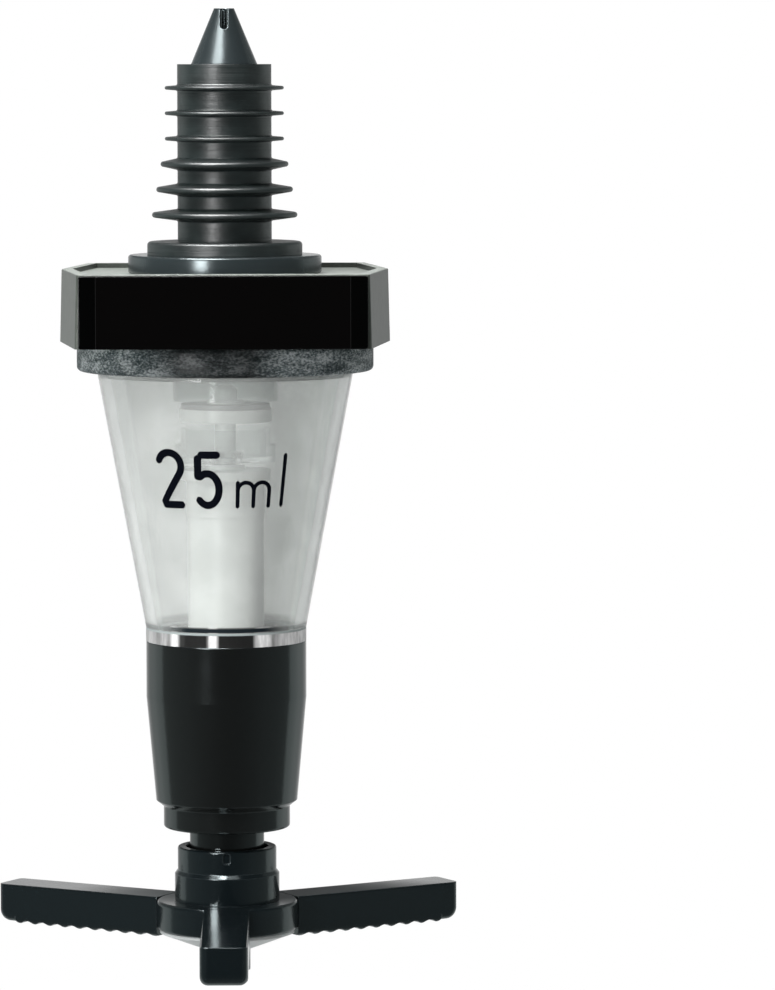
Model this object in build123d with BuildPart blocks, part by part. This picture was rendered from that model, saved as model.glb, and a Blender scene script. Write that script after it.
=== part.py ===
"""Liquor optic dispenser for an upturned spirit bottle, in millimetres.

The cork at the top seals in the bottle's neck. The clear chamber holds one measure. A glass pushed up
under the three arms lifts the push bar, the valve column and the inlet seal together: the inlet closes,
the ports in the column rise above the gland, and the measure runs out through the nozzle.

+Z is up, towards the bottle, and the front, with the label plate, faces -Y. The origin is on the axis,
level with the top rim of the label housing.
"""

import math
import os

from build123d import *

# ---- driving dimensions: fits ----
seat_gap = 0.05  # radial gap between two fixed pieces, one inside the other
running_gap = 0.06  # radial gap of a sliding fit
free_gap = 0.40  # gap between moving pieces that never touch
end_gap = 0.40  # spare travel past the end of the stroke
stroke = 7.0  # lift of the push bar

# ---- driving dimensions: inlet stem and air tube ----
inlet_bore_r = 3.5
stem_wall = 1.35
nose_h = 9.2
nose_lip = 0.65
nose_tip_r = 1.66
nose_tip_wall = 0.5
nose_slot_w = 1.3
nose_slot_depth = 2.8
nose_slot_count = 3
collar_r = 16.05
collar_t = 3.1
collar_round = 0.45
boss_wall = 1.85
thread_h = 4.3
air_tube_r = 0.5
air_tube_bore_r = 0.28
air_tube_tip_inset = 0.3
air_tube_tail_h = 6.0  # clear length of bore below the tube's lower end, for the rising rod nut
spider_h = 6.0
spider_ring_wall = 0.7
spider_rib_w = 0.9
spider_rib_count = 3

# ---- driving dimensions: bottle cork ----
cork_h = 31.5
cork_wall = 2.9
cork_flange_w = 5.07
cork_flange_t = 2.2
cork_round = 0.3
cork_flange_round = 0.6
fin_count = 6
neck_fin_count = 3  # the top fins, which all have the radius of the bottle's neck
neck_fin_w = 2.07
fin_growth = 0.73
top_fin_drop = 3.9  # from the cork's top to the middle of its first fin
last_fin_rise = 4.4  # from the flange's top to the middle of the last fin
fin_root_t = 0.9
fin_tip_t = 0.6
lower_fin_root_t = 1.95
lower_fin_tip_t = 0.9

# ---- driving dimensions: label housing and plate ----
housing_h = 12.1
housing_lap = 0.45  # the front and back stand this far outside the chamber's flange
housing_side_lap = 2.45  # the sides' ridges stand this far outside the flange
housing_side_slant = 3.4  # the front and back corners lie this far inside the ridges
housing_ridge_r = 12.0
housing_draft = 0.3  # the sides stand this much further out at the bottom
housing_corner_r = 0.5
housing_wall = 1.8
rim_h = 0.8
rim_round = 0.3
web_t = 1.6
tube_wall = 1.6
plate_margin = 0.25  # housing left bare above the plate and at its ends
plate_t = 0.9
plate_corner_r = 0.5
plate_round = 0.15

# ---- driving dimensions: measuring chamber and its lid ----
lid_t = 2.2
flange_w = 3.3
flange_t = 2.6
flange_round = 0.8
cone_h = 42.9
cone_top_r = 21.35
cone_foot_r = 13.36
chamber_wall = 1.8
foot_h = 2.2
mouth_wall = 1.35
lid_spigot_wall = 2.3
lid_spigot_h = 3.0
lid_ring_wire_r = 0.6
spigot_h = 4.5
spigot_wall = 1.35

# ---- driving dimensions: inlet cage ----
cage_wall = 1.6
cage_web_t = 0.9
cage_skirt_wall = 0.6
cage_window_h = 2.6
cage_window_w = 6.0
cage_window_corner_r = 0.87
cage_window_count = 4

# ---- driving dimensions: lower body, gland and guide ----
body_wall = 1.25
body_straight_h = 9.4
body_taper_h = 17.35
body_chamfer_w = 1.24
body_chamfer_h = 1.0
body_skirt_h = 3.6
body_skirt_wall = 1.41
body_round = 0.5
body_web_t = 2.6
gland_rise = 1.5  # from the seam up to the gland's top
gland_flange_t = 1.6
gland_ring_wire_r = 0.7
gland_ring_drop = 1.8
static_ring_wire_r = 0.55
sleeve_wall = 0.96
sleeve_flange_t = 1.5
neck_show = 3.25  # length of neck seen between the body and the slide collar

# ---- driving dimensions: valve column and return spring ----
column_r = 6.34
column_wall = 1.44
column_neck_wall = 0.85
column_neck_h = 4.2
column_flange_lip = 1.06  # width of flange outside the spring
column_flange_t = 1.5
column_web_t = 1.6
tail_step = 0.9
outlet_bore_r = 3.3
tail_spigot_wall = 1.0
tail_spigot_h = 1.8
port_r = 1.4
port_count = 4
spring_wire_r = 0.45
spring_gap = 0.7
spring_turns = 6

# ---- driving dimensions: inlet valve on its rod ----
seal_gap = 0.1  # left between seal and seat at full lift
seal_r = 7.4
seal_t = 0.8
carrier_lip = 0.34
carrier_t = 2.2
carrier_round = 0.28
rod_r = 1.75
rod_shoulder = 0.5
rod_head_lip = 1.45
rod_head_t = 1.4
nut_wall = 0.61
nut_h = 3.2
nut_thread_h = 1.4
nut_cone_h = 0.8
nut_point_r = 0.76
nut_flange_gap = 0.5  # radial gap to the inlet bore
nut_flange_t = 0.6
cup_gap = 1.1  # open height between cup and carrier
cup_floor_t = 1.0
cup_inset = 0.24  # the cup's wall stands this far inside the carrier's edge
cup_wall = 0.8
cup_h = 5.6
cup_rim_w = 0.83
cup_rim_h = 2.85
clip_t = 0.7
clip_r = 3.1
clip_groove = 0.35
clip_mouth_w = 2.0
cap_lip = 0.95
cap_disc_t = 1.6
cap_boss_h = 1.3
cap_floor_t = 2.0
cap_skirt_wall = 0.75

# ---- driving dimensions: push bar, slide collar and nozzle ----
ring1_wall = 1.98
ring1_h = 3.9
shoulder_h = 0.65
ring_step = 0.49
ring2_h = 4.55
ring_mouth_wall = 1.3
ring_mouth_h = 1.8
ring_round = 0.33
key_w = 1.2
key_h = 1.7
key_depth = 0.3
key_corner_r = 0.4
hub_ledge = 3.07  # width of hub outside the slide collar
hub_t = 4.9
hub_round = 0.6
hub_well_h = 1.6  # recess in the hub's top that the neck enters as the bar rises
side_reach = 43.3
front_reach = 50.5
arm_w = 7.7
arm_h = 6.8
arm_taper = 0.3  # the arm is this much shallower at its end
arm_top_round = 0.35
arm_foot_round = 1.2
arm_end_r = 1.3
arm_toe_r = 2.0
scallop_pitch = 2.97
scallop_depth = 0.5
scallop_crown = 0.17  # rise of a tip's sides above its lowest point
scallop_tip_w = 1.0
scallop_margin = 1.0  # least flat length between the last tip and the toe
nozzle_inset = 0.52
nozzle_rim_t = 0.5
nozzle_wall = 0.95
nozzle_cone_h = 3.35
nozzle_tip_h = 3.5
nozzle_bore_r = 2.9
nozzle_ring_wire_r = 0.5

# ---- stations along the axis, from the top down ----
web_top = -rim_h
web_bottom = web_top - web_t
collar_top = web_top + collar_t
cork_top = collar_top + cork_h
nose_tip = cork_top + nose_h
lid_top = -housing_h
lid_bottom = lid_top - lid_t
mouth_bottom = lid_bottom - lid_spigot_h - free_gap
chamber_flange_bottom = lid_bottom - flange_t
cone_bottom = chamber_flange_bottom - cone_h
seam = cone_bottom - foot_h
seat = lid_bottom - cage_web_t
seal_top = seat - seal_gap - stroke
seal_bottom = seal_top - seal_t
carrier_bottom = seal_bottom - carrier_t
cup_bottom = carrier_bottom - cup_gap - cup_h
cup_floor = cup_bottom + cup_floor_t
cage_skirt_bottom = cup_bottom + cup_rim_h + stroke + end_gap  # just clear of the cup's rim at full lift
cap_top = cup_bottom - cap_boss_h
cap_floor = cap_top - cap_floor_t
head_bottom = cap_floor - rod_head_t
column_top = head_bottom - seat_gap
column_shoulder = column_top - column_neck_h
gland_top = seam + gland_rise
upper_ring_z = gland_top - gland_ring_drop
port_z = gland_top + port_r + 2 * end_gap - stroke  # the ports clear the gland at full lift
lower_ring_z = port_z - port_r - gland_ring_wire_r - 2 * end_gap
gland_bottom = lower_ring_z - 2 * gland_ring_wire_r
body_taper_top = seam - body_straight_h
body_chamfer_top = body_taper_top - body_taper_h
body_skirt_top = body_chamfer_top - body_chamfer_h
body_bottom = body_skirt_top - body_skirt_h
ring1_top = body_bottom - neck_show
ring1_bottom = ring1_top - ring1_h
ring2_top = ring1_bottom - shoulder_h
hub_top = ring2_top - ring2_h
hub_bottom = hub_top - hub_t
pocket_top = ring1_top + stroke + end_gap
body_web_top = pocket_top + body_web_t
sleeve_flange_top = body_web_top + sleeve_flange_t
spring_bottom = sleeve_flange_top + column_flange_t
rod_top = seal_top + nut_thread_h
hub_floor = hub_top - hub_well_h
sleeve_bottom = hub_floor + stroke + end_gap
tail_bottom = hub_bottom - tail_spigot_h
nozzle_cone_bottom = hub_bottom - nozzle_cone_h
nozzle_bottom = nozzle_cone_bottom - nozzle_tip_h

# ---- radii that follow from the ones above ----
stem_r = inlet_bore_r + stem_wall
nose_base_r = stem_r + nose_lip
cork_core_r = stem_r + seat_gap + cork_wall
cork_flange_r = cork_core_r + cork_flange_w
neck_fin_r = cork_core_r + neck_fin_w
cage_spigot_r = inlet_bore_r + cage_wall
boss_r = cage_spigot_r + seat_gap + boss_wall
boss_hole_r = boss_r + 2 * seat_gap
carrier_r = seal_r + carrier_lip
cage_skirt_bore_r = carrier_r + free_gap
cage_skirt_r = cage_skirt_bore_r + cage_skirt_wall
flange_r = cone_top_r + flange_w
housing_front = flange_r + housing_lap
housing_half_w = flange_r + housing_side_lap
mouth_r = cone_top_r - mouth_wall
lid_spigot_r = mouth_r - 2 * seat_gap
spigot_r = cone_foot_r - body_wall
spigot_bore_r = spigot_r - spigot_wall
gland_r = spigot_bore_r - seat_gap
gland_bore_r = column_r + running_gap
gland_ring_r = column_r + running_gap + gland_ring_wire_r
static_ring_r = gland_r - static_ring_wire_r
lid_ring_r = lid_spigot_r - lid_ring_wire_r
column_top_bore_r = column_r - column_wall
column_neck_r = column_top_bore_r + column_neck_wall
tail_spigot_r = outlet_bore_r + tail_spigot_wall
spring_r = column_r + spring_gap + spring_wire_r
column_flange_r = spring_r + spring_wire_r + column_flange_lip
cavity_r = column_flange_r + free_gap
tail_r = tail_spigot_r + tail_step
sleeve_bore_r = tail_r + running_gap
neck_r = sleeve_bore_r + sleeve_wall
collar_bore_r = neck_r + running_gap
ring1_r = collar_bore_r + ring1_wall
ring2_r = ring1_r + ring_step
pocket_r = ring2_r + free_gap
body_skirt_r = pocket_r + body_skirt_wall
body_taper_r = body_skirt_r + body_chamfer_w
hub_r = ring2_r + hub_ledge
nozzle_rim_r = hub_r - nozzle_inset
nozzle_r = nozzle_bore_r + nozzle_wall
cap_skirt_bore_r = column_neck_r + seat_gap
cap_skirt_r = cap_skirt_bore_r + cap_skirt_wall
cap_r = cap_skirt_r + cap_lip
rod_thread_r = rod_r - rod_shoulder
rod_head_r = rod_r + rod_head_lip
nut_r = rod_thread_r + seat_gap + nut_wall
nut_flange_r = inlet_bore_r - nut_flange_gap
cup_r = carrier_r - cup_inset
cup_rim_r = cup_r + cup_rim_w
cone_slope = (cone_top_r - cone_foot_r) / cone_h

# ---- other sizes that follow ----
fin_pitch = (cork_h - top_fin_drop - last_fin_rise - cork_flange_t) / (fin_count - 1)
front_half_w = housing_half_w - housing_side_slant
plate_w = 2 * (front_half_w - plate_margin)
plate_h = housing_h - plate_margin

os.makedirs("parts", exist_ok=True)


def section(*corners):
    """Face with the given (radius, height) corners, in the sketch that is open."""
    Polygon(*corners, align=None)


def band(inner_r, outer_r, low, high):
    """Rectangle between two radii and two heights, in the sketch that is open."""
    section((inner_r, low), (outer_r, low), (outer_r, high), (inner_r, high))


def radial_plane(angle, height=0.0):
    """Upright plane through the axis: local x points outwards at the angle, local y points up."""
    turn = math.radians(angle)
    outwards = (math.cos(turn), math.sin(turn), 0)
    sideways = (math.sin(turn), -math.cos(turn), 0)
    return Plane(origin=(0, 0, height), x_dir=outwards, z_dir=sideways)


def facing_plane(angle, height=0.0):
    """Upright plane on the axis that faces outwards at the angle: local y points up."""
    turn = math.radians(angle)
    across = (-math.sin(turn), math.cos(turn), 0)
    outwards = (math.cos(turn), math.sin(turn), 0)
    return Plane(origin=(0, 0, height), x_dir=across, z_dir=outwards)


def circle_edges(part, radius, height):
    """The part's circular edges of one radius at one height."""
    found = part.edges().filter_by(GeomType.CIRCLE)
    return found.filter_by(lambda e: abs(e.radius - radius) < 1e-4 and abs(e.center().Z - height) < 1e-4)


def evenly(count, first=-90.0):
    """Angles of evenly spaced features, starting at the front."""
    return [first + 360.0 * k / count for k in range(count)]


# ---- inlet stem: nose cone, tube through the cork, collar and threaded boss ----
with BuildPart() as inlet_stem:
    with BuildSketch(Plane.XZ):
        section(
            (0, lid_bottom),
            (boss_r, lid_bottom),
            (boss_r, web_top),
            (collar_r, web_top),
            (collar_r, collar_top),
            (stem_r, collar_top),
            (stem_r, cork_top),
            (nose_base_r, cork_top),
            (nose_tip_r, nose_tip),
            (0, nose_tip),
        )
    revolve(axis=Axis.Z)
    fillet(circle_edges(inlet_stem.part, collar_r, collar_top), collar_round)
    fillet(circle_edges(inlet_stem.part, collar_r, web_top), collar_round)
    with BuildSketch(Plane.XZ):
        section(
            (0, lid_bottom),
            (cage_spigot_r + seat_gap, lid_bottom),
            (cage_spigot_r + seat_gap, lid_bottom + thread_h),
            (inlet_bore_r, lid_bottom + thread_h),
            (inlet_bore_r, cork_top),
            (nose_tip_r - nose_tip_wall, nose_tip),
            (0, nose_tip),
        )
    revolve(axis=Axis.Z, mode=Mode.SUBTRACT)
    for angle in evenly(nose_slot_count):
        with BuildSketch(facing_plane(angle, nose_tip - nose_slot_depth)):
            Circle(nose_slot_w / 2)
            Rectangle(nose_slot_w, nose_slot_depth, align=(Align.CENTER, Align.MIN))
        extrude(amount=nose_base_r, mode=Mode.SUBTRACT)
    with BuildSketch(Plane.XY.offset(collar_top)):
        Circle(air_tube_r + seat_gap + spider_ring_wall)
        for angle in evenly(spider_rib_count):
            with PolarLocations(inlet_bore_r / 2, 1, start_angle=angle):
                Rectangle(inlet_bore_r + stem_wall, spider_rib_w)
        Circle(air_tube_r + seat_gap, mode=Mode.SUBTRACT)
    extrude(amount=spider_h)
inlet_stem.part.label = "inlet_stem"

# ---- air tube, held on the axis by the stem's spider ----
with BuildPart() as air_tube:
    with BuildSketch(Plane.XZ):
        band(air_tube_bore_r, air_tube_r, lid_bottom + air_tube_tail_h, nose_tip - air_tube_tip_inset)
    revolve(axis=Axis.Z)
air_tube.part.label = "air_tube"

# ---- bottle cork: core, flange and fins that widen downwards ----
with BuildPart() as bottle_cork:
    with BuildSketch(Plane.XZ) as cork_section:
        band(stem_r + seat_gap, cork_core_r, collar_top, cork_top)
        band(stem_r + seat_gap, cork_flange_r, collar_top, collar_top + cork_flange_t)
        for k in range(fin_count):
            steps_down = max(0, k - neck_fin_count + 1)
            fin_z = cork_top - top_fin_drop - k * fin_pitch
            fin_r = neck_fin_r + steps_down * fin_growth
            root = (lower_fin_root_t if steps_down else fin_root_t) / 2
            tip = (lower_fin_tip_t if steps_down else fin_tip_t) / 2
            with BuildLine():
                Line((cork_core_r - root, fin_z - root), (cork_core_r, fin_z - root))
                Line((cork_core_r, fin_z - root), (fin_r - tip, fin_z - tip))
                ThreePointArc((fin_r - tip, fin_z - tip), (fin_r, fin_z), (fin_r - tip, fin_z + tip))
                Line((fin_r - tip, fin_z + tip), (cork_core_r, fin_z + root))
                Line((cork_core_r, fin_z + root), (cork_core_r - root, fin_z + root))
                Line((cork_core_r - root, fin_z + root), (cork_core_r - root, fin_z - root))
            make_face()
        roots = cork_section.vertices().filter_by_position(Axis.X, cork_core_r - 0.01, cork_core_r + 0.01)
        fillet(roots.sort_by(Axis.Y)[1:-1], cork_round)
    revolve(axis=Axis.Z)
    fillet(circle_edges(bottle_cork.part, cork_flange_r, collar_top + cork_flange_t), cork_flange_round)
bottle_cork.part.label = "bottle_cork"


def housing_outline(half_w):
    """Lines of a flat front and back, and sides that slant out to a ridge, in the open line builder."""
    corner_x = half_w - housing_side_slant
    Polyline(
        (-corner_x, -housing_front),
        (corner_x, -housing_front),
        (half_w, 0),
        (corner_x, housing_front),
        (-corner_x, housing_front),
        (-half_w, 0),
        close=True,
    )


def housing_corners(sketch):
    """The outline's four outer corners, then its two side ridges."""
    by_depth = sketch.vertices().sort_by(lambda v: abs(v.Y))
    return by_depth[2:], by_depth[:2]


# ---- label housing: clear tray, open below, with a tube that stands on the lid ----
with BuildPart() as label_housing:
    with BuildSketch(Plane.XY.offset(lid_top)) as foot_outline:
        with BuildLine():
            housing_outline(housing_half_w + housing_draft)
        make_face()
        corners, ridges = housing_corners(foot_outline)
        fillet(corners, housing_corner_r)
        fillet(ridges, housing_ridge_r)
    with BuildSketch(Plane.XY) as rim_outline:
        with BuildLine():
            housing_outline(housing_half_w)
        make_face()
        corners, ridges = housing_corners(rim_outline)
        fillet(corners, housing_corner_r)
        fillet(ridges, housing_ridge_r)
    loft()
    fillet(label_housing.edges().group_by(Axis.Z)[-1], rim_round)
    for floor, height in ((web_top, rim_h), (lid_top, web_bottom - lid_top)):
        with BuildSketch(Plane.XY.offset(floor)) as tray_outline:
            with BuildLine():
                housing_outline(housing_half_w)
            make_face()
            fillet(housing_corners(tray_outline)[1], housing_ridge_r)
            offset(amount=-housing_wall)
        extrude(amount=height, mode=Mode.SUBTRACT)
    with BuildSketch(Plane.XZ):
        band(boss_hole_r, boss_hole_r + tube_wall, lid_top, web_bottom)
    revolve(axis=Axis.Z)
    with BuildSketch(Plane.XY.offset(lid_top)):
        Circle(boss_hole_r)
    extrude(amount=housing_h, mode=Mode.SUBTRACT)
label_housing.part.label = "label_housing"

# ---- label plate, bonded to the housing's flat front ----
with BuildPart() as label_plate:
    with BuildSketch(Plane.XZ.offset(housing_front)):
        with Locations((0, lid_top + plate_h / 2)):
            RectangleRounded(plate_w, plate_h, plate_corner_r)
    extrude(amount=plate_t)
    fillet(label_plate.edges().group_by(Axis.Y)[0], plate_round)
label_plate.part.label = "label_plate"

# ---- chamber lid: disc clamped below the housing, with a ringed spigot in the chamber's mouth ----
lid_ring_z = lid_bottom - lid_spigot_h / 2
with BuildPart() as chamber_lid:
    with BuildSketch(Plane.XZ):
        band(boss_hole_r, flange_r, lid_bottom, lid_top)
        band(lid_spigot_r - lid_spigot_wall, lid_spigot_r, lid_bottom - lid_spigot_h, lid_bottom)
    revolve(axis=Axis.Z)
    fillet(circle_edges(chamber_lid.part, flange_r, lid_top), flange_round)
    with BuildSketch(Plane.XZ):
        band(
            lid_ring_r - lid_ring_wire_r - seat_gap,
            lid_spigot_r + seat_gap,
            lid_ring_z - lid_ring_wire_r - seat_gap,
            lid_ring_z + lid_ring_wire_r + seat_gap,
        )
    revolve(axis=Axis.Z, mode=Mode.SUBTRACT)
chamber_lid.part.label = "chamber_lid"

with BuildPart(Plane.XY.offset(lid_ring_z)) as lid_o_ring:
    Torus(lid_ring_r, lid_ring_wire_r)
lid_o_ring.part.label = "lid_o_ring"

# ---- inlet cage: screws into the boss, clamps the lid, carries the seat and a windowed skirt ----
with BuildPart() as inlet_cage:
    with BuildSketch(Plane.XZ):
        band(inlet_bore_r, cage_spigot_r, seat, lid_bottom + thread_h - seat_gap)
        band(inlet_bore_r, cage_skirt_r, seat, lid_bottom)
        band(cage_skirt_bore_r, cage_skirt_r, cage_skirt_bottom, seat)
    revolve(axis=Axis.Z)
    for angle in evenly(cage_window_count, first=-45.0):
        with BuildSketch(facing_plane(angle, seat - cage_window_h / 2 - end_gap)):
            RectangleRounded(cage_window_w, cage_window_h, cage_window_corner_r)
        extrude(amount=cage_skirt_r + free_gap, mode=Mode.SUBTRACT)
inlet_cage.part.label = "inlet_cage"

# ---- measuring chamber: flange, cone and a spigot that drops into the lower body ----
inner_top_r = cone_top_r - chamber_wall
inner_foot_r = cone_foot_r - chamber_wall
mouth_step_r = inner_top_r - cone_slope * (chamber_flange_bottom - mouth_bottom)
spigot_bottom = seam - spigot_h
with BuildPart() as chamber:
    with BuildSketch(Plane.XZ):
        section(
            (mouth_r, lid_bottom),
            (flange_r, lid_bottom),
            (flange_r, chamber_flange_bottom),
            (cone_top_r, chamber_flange_bottom),
            (cone_foot_r, cone_bottom),
            (cone_foot_r, seam),
            (spigot_r, seam),
            (spigot_r, spigot_bottom),
            (spigot_bore_r, spigot_bottom),
            (spigot_bore_r, cone_bottom),
            (inner_foot_r, cone_bottom),
            (mouth_step_r, mouth_bottom),
            (mouth_r, mouth_bottom),
        )
    revolve(axis=Axis.Z)
    fillet(circle_edges(chamber.part, flange_r, chamber_flange_bottom), flange_round)
    fillet(circle_edges(chamber.part, cone_top_r, chamber_flange_bottom), flange_round / 2)
chamber.part.label = "chamber"

# ---- gland: the bush that the valve column slides through, with its two sliding seals ----
static_ring_z = (upper_ring_z + spigot_bottom) / 2
with BuildPart() as gland:
    with BuildSketch(Plane.XZ):
        band(gland_bore_r, gland_r, gland_bottom, gland_top)
        band(gland_bore_r, spigot_r, gland_bottom, gland_bottom + gland_flange_t)
    revolve(axis=Axis.Z)
    with BuildSketch(Plane.XZ):
        for ring_z in (upper_ring_z, lower_ring_z):
            half = gland_ring_wire_r + seat_gap
            band(column_r, gland_ring_r + half, ring_z - half, ring_z + half)
        static_half = static_ring_wire_r + seat_gap
        static_floor_r = static_ring_r - static_half
        band(static_floor_r, spigot_bore_r, static_ring_z - static_half, static_ring_z + static_half)
    revolve(axis=Axis.Z, mode=Mode.SUBTRACT)
gland.part.label = "gland"

with BuildPart(Plane.XY.offset(upper_ring_z)) as upper_gland_seal:
    Torus(gland_ring_r, gland_ring_wire_r)
upper_gland_seal.part.label = "upper_gland_seal"

with BuildPart(Plane.XY.offset(lower_ring_z)) as lower_gland_seal:
    Torus(gland_ring_r, gland_ring_wire_r)
lower_gland_seal.part.label = "lower_gland_seal"

with BuildPart(Plane.XY.offset(static_ring_z)) as chamber_seal:
    Torus(static_ring_r, static_ring_wire_r)
chamber_seal.part.label = "chamber_seal"

# ---- lower body: holds chamber, gland, spring and guide, and takes the slide collar as it rises ----
with BuildPart() as lower_body:
    with BuildSketch(Plane.XZ):
        section(
            (spigot_r + seat_gap, seam),
            (cone_foot_r, seam),
            (cone_foot_r, body_taper_top),
            (body_taper_r, body_chamfer_top),
            (body_skirt_r, body_skirt_top),
            (body_skirt_r, body_bottom),
            (pocket_r, body_bottom),
            (pocket_r, pocket_top),
            (neck_r + seat_gap, pocket_top),
            (neck_r + seat_gap, body_web_top),
            (cavity_r, body_web_top),
            (cavity_r, gland_bottom),
            (spigot_r + seat_gap, gland_bottom),
        )
    revolve(axis=Axis.Z)
    fillet(circle_edges(lower_body.part, body_skirt_r, body_bottom), body_round)
lower_body.part.label = "lower_body"

# ---- guide sleeve: flanged neck that guides the column inside and the slide collar outside ----
with BuildPart() as guide_sleeve:
    with BuildSketch(Plane.XZ):
        band(sleeve_bore_r, neck_r, sleeve_bottom, sleeve_flange_top)
        band(sleeve_bore_r, cavity_r - seat_gap, body_web_top, sleeve_flange_top)
    revolve(axis=Axis.Z)
guide_sleeve.part.label = "guide_sleeve"

# ---- return spring between the gland and the column's flange ----
spring_low = spring_bottom + spring_wire_r
spring_high = gland_bottom - spring_wire_r
with BuildPart() as return_spring:
    with BuildLine():
        coil = Helix(
            pitch=(spring_high - spring_low) / spring_turns,
            height=spring_high - spring_low,
            radius=spring_r,
            center=(0, 0, spring_low),
        )
    with BuildSketch(Plane(origin=coil @ 0, z_dir=coil % 0)):
        Circle(spring_wire_r)
    sweep(is_frenet=True)
return_spring.part.label = "return_spring"

# ---- valve column: guide above, flange for the spring, ported outlet tube below ----
with BuildPart() as valve_column:
    with BuildSketch(Plane.XZ):
        band(0, column_neck_r, column_shoulder, column_top)
        band(0, column_r, spring_bottom, column_shoulder)
        band(0, column_flange_r, sleeve_flange_top, spring_bottom)
        band(0, tail_r, hub_floor, sleeve_flange_top)
        band(0, tail_spigot_r, tail_bottom, hub_floor)
    revolve(axis=Axis.Z)
    web_low = port_z + port_r + end_gap
    with BuildSketch(Plane.XZ):
        band(0, outlet_bore_r, tail_bottom, web_low)
        band(0, column_top_bore_r, web_low + column_web_t, column_top)
    revolve(axis=Axis.Z, mode=Mode.SUBTRACT)
    for angle in evenly(port_count, first=-45.0):
        with BuildSketch(facing_plane(angle, port_z)):
            Circle(port_r)
        extrude(amount=column_r + free_gap, mode=Mode.SUBTRACT)
valve_column.part.label = "valve_column"

# ---- column cap: disc with a boss for the cup, and a skirt over the column's neck ----
with BuildPart() as column_cap:
    with BuildSketch(Plane.XZ):
        band(rod_r + seat_gap, rod_head_r, cap_top, cup_bottom)
        band(rod_r + seat_gap, cap_r, cap_top - cap_disc_t, cap_top)
        band(rod_r + seat_gap, cap_skirt_r, cap_floor, cap_top)
        band(cap_skirt_bore_r, cap_skirt_r, column_shoulder, cap_floor)
    revolve(axis=Axis.Z)
column_cap.part.label = "column_cap"

# ---- splash cup on the cap's boss ----
with BuildPart() as splash_cup:
    with BuildSketch(Plane.XZ):
        band(rod_r + seat_gap, cup_rim_r, cup_bottom, cup_floor)
        band(cup_r - cup_wall, cup_r, cup_floor, cup_bottom + cup_h)
        band(cup_r - cup_wall, cup_rim_r, cup_floor, cup_bottom + cup_rim_h)
    revolve(axis=Axis.Z)
splash_cup.part.label = "splash_cup"

# ---- valve rod: headed below, shouldered and threaded above ----
with BuildPart() as valve_rod:
    with BuildSketch(Plane.XZ):
        band(0, rod_head_r, head_bottom, cap_floor)
        band(0, rod_r, cap_floor, carrier_bottom)
        band(0, rod_thread_r, carrier_bottom, rod_top)
    revolve(axis=Axis.Z)
    with BuildSketch(Plane.XZ):
        band(rod_r - clip_groove, rod_r + seat_gap, cup_floor, cup_floor + clip_t + seat_gap)
    revolve(axis=Axis.Z, mode=Mode.SUBTRACT)
valve_rod.part.label = "valve_rod"

# ---- cup clip: open steel ring in the rod's groove ----
with BuildPart() as cup_clip:
    with BuildSketch(Plane.XY.offset(cup_floor)):
        Circle(clip_r)
        Circle(rod_r - clip_groove + seat_gap, mode=Mode.SUBTRACT)
        Rectangle(clip_mouth_w, clip_r, align=(Align.CENTER, Align.MAX), mode=Mode.SUBTRACT)
    extrude(amount=clip_t)
cup_clip.part.label = "cup_clip"

# ---- seal carrier, inlet seal and the pointed nut that holds them ----
with BuildPart() as seal_carrier:
    with BuildSketch(Plane.XZ):
        band(rod_thread_r + seat_gap, carrier_r, carrier_bottom, seal_bottom)
    revolve(axis=Axis.Z)
    fillet(circle_edges(seal_carrier.part, carrier_r, carrier_bottom), carrier_round)
seal_carrier.part.label = "seal_carrier"

with BuildPart() as inlet_seal:
    with BuildSketch(Plane.XZ):
        band(rod_thread_r + seat_gap, seal_r, seal_bottom, seal_top)
    revolve(axis=Axis.Z)
inlet_seal.part.label = "inlet_seal"

with BuildPart() as rod_nut:
    with BuildSketch(Plane.XZ):
        section(
            (0, rod_top + seat_gap),
            (rod_thread_r + seat_gap, rod_top + seat_gap),
            (rod_thread_r + seat_gap, seal_top),
            (nut_flange_r, seal_top),
            (nut_flange_r, seal_top + nut_flange_t),
            (nut_r, seal_top + nut_flange_t),
            (nut_r, seal_top + nut_h - nut_cone_h),
            (nut_point_r, seal_top + nut_h),
            (0, seal_top + nut_h),
        )
    revolve(axis=Axis.Z)
rod_nut.part.label = "rod_nut"

# ---- slide collar: two stepped rings that run on the neck ----
with BuildPart() as slide_collar:
    with BuildSketch(Plane.XZ):
        section(
            (collar_bore_r, hub_top),
            (ring2_r, hub_top),
            (ring2_r, ring2_top),
            (ring1_r, ring1_bottom),
            (ring1_r, ring1_top),
            (ring1_r - ring_mouth_wall, ring1_top),
            (ring1_r - ring_mouth_wall, ring1_top - ring_mouth_h),
            (collar_bore_r, ring1_top - ring_mouth_h),
        )
    revolve(axis=Axis.Z)
    fillet(circle_edges(slide_collar.part, ring1_r, ring1_top), ring_round)
    key_mid = ring1_top - ring_round - key_h / 2
    with BuildSketch(facing_plane(-90.0, key_mid).offset(ring1_r - key_depth)):
        RectangleRounded(key_w, key_h, key_corner_r)
    extrude(amount=key_depth * 2, mode=Mode.SUBTRACT)
slide_collar.part.label = "slide_collar"


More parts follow.
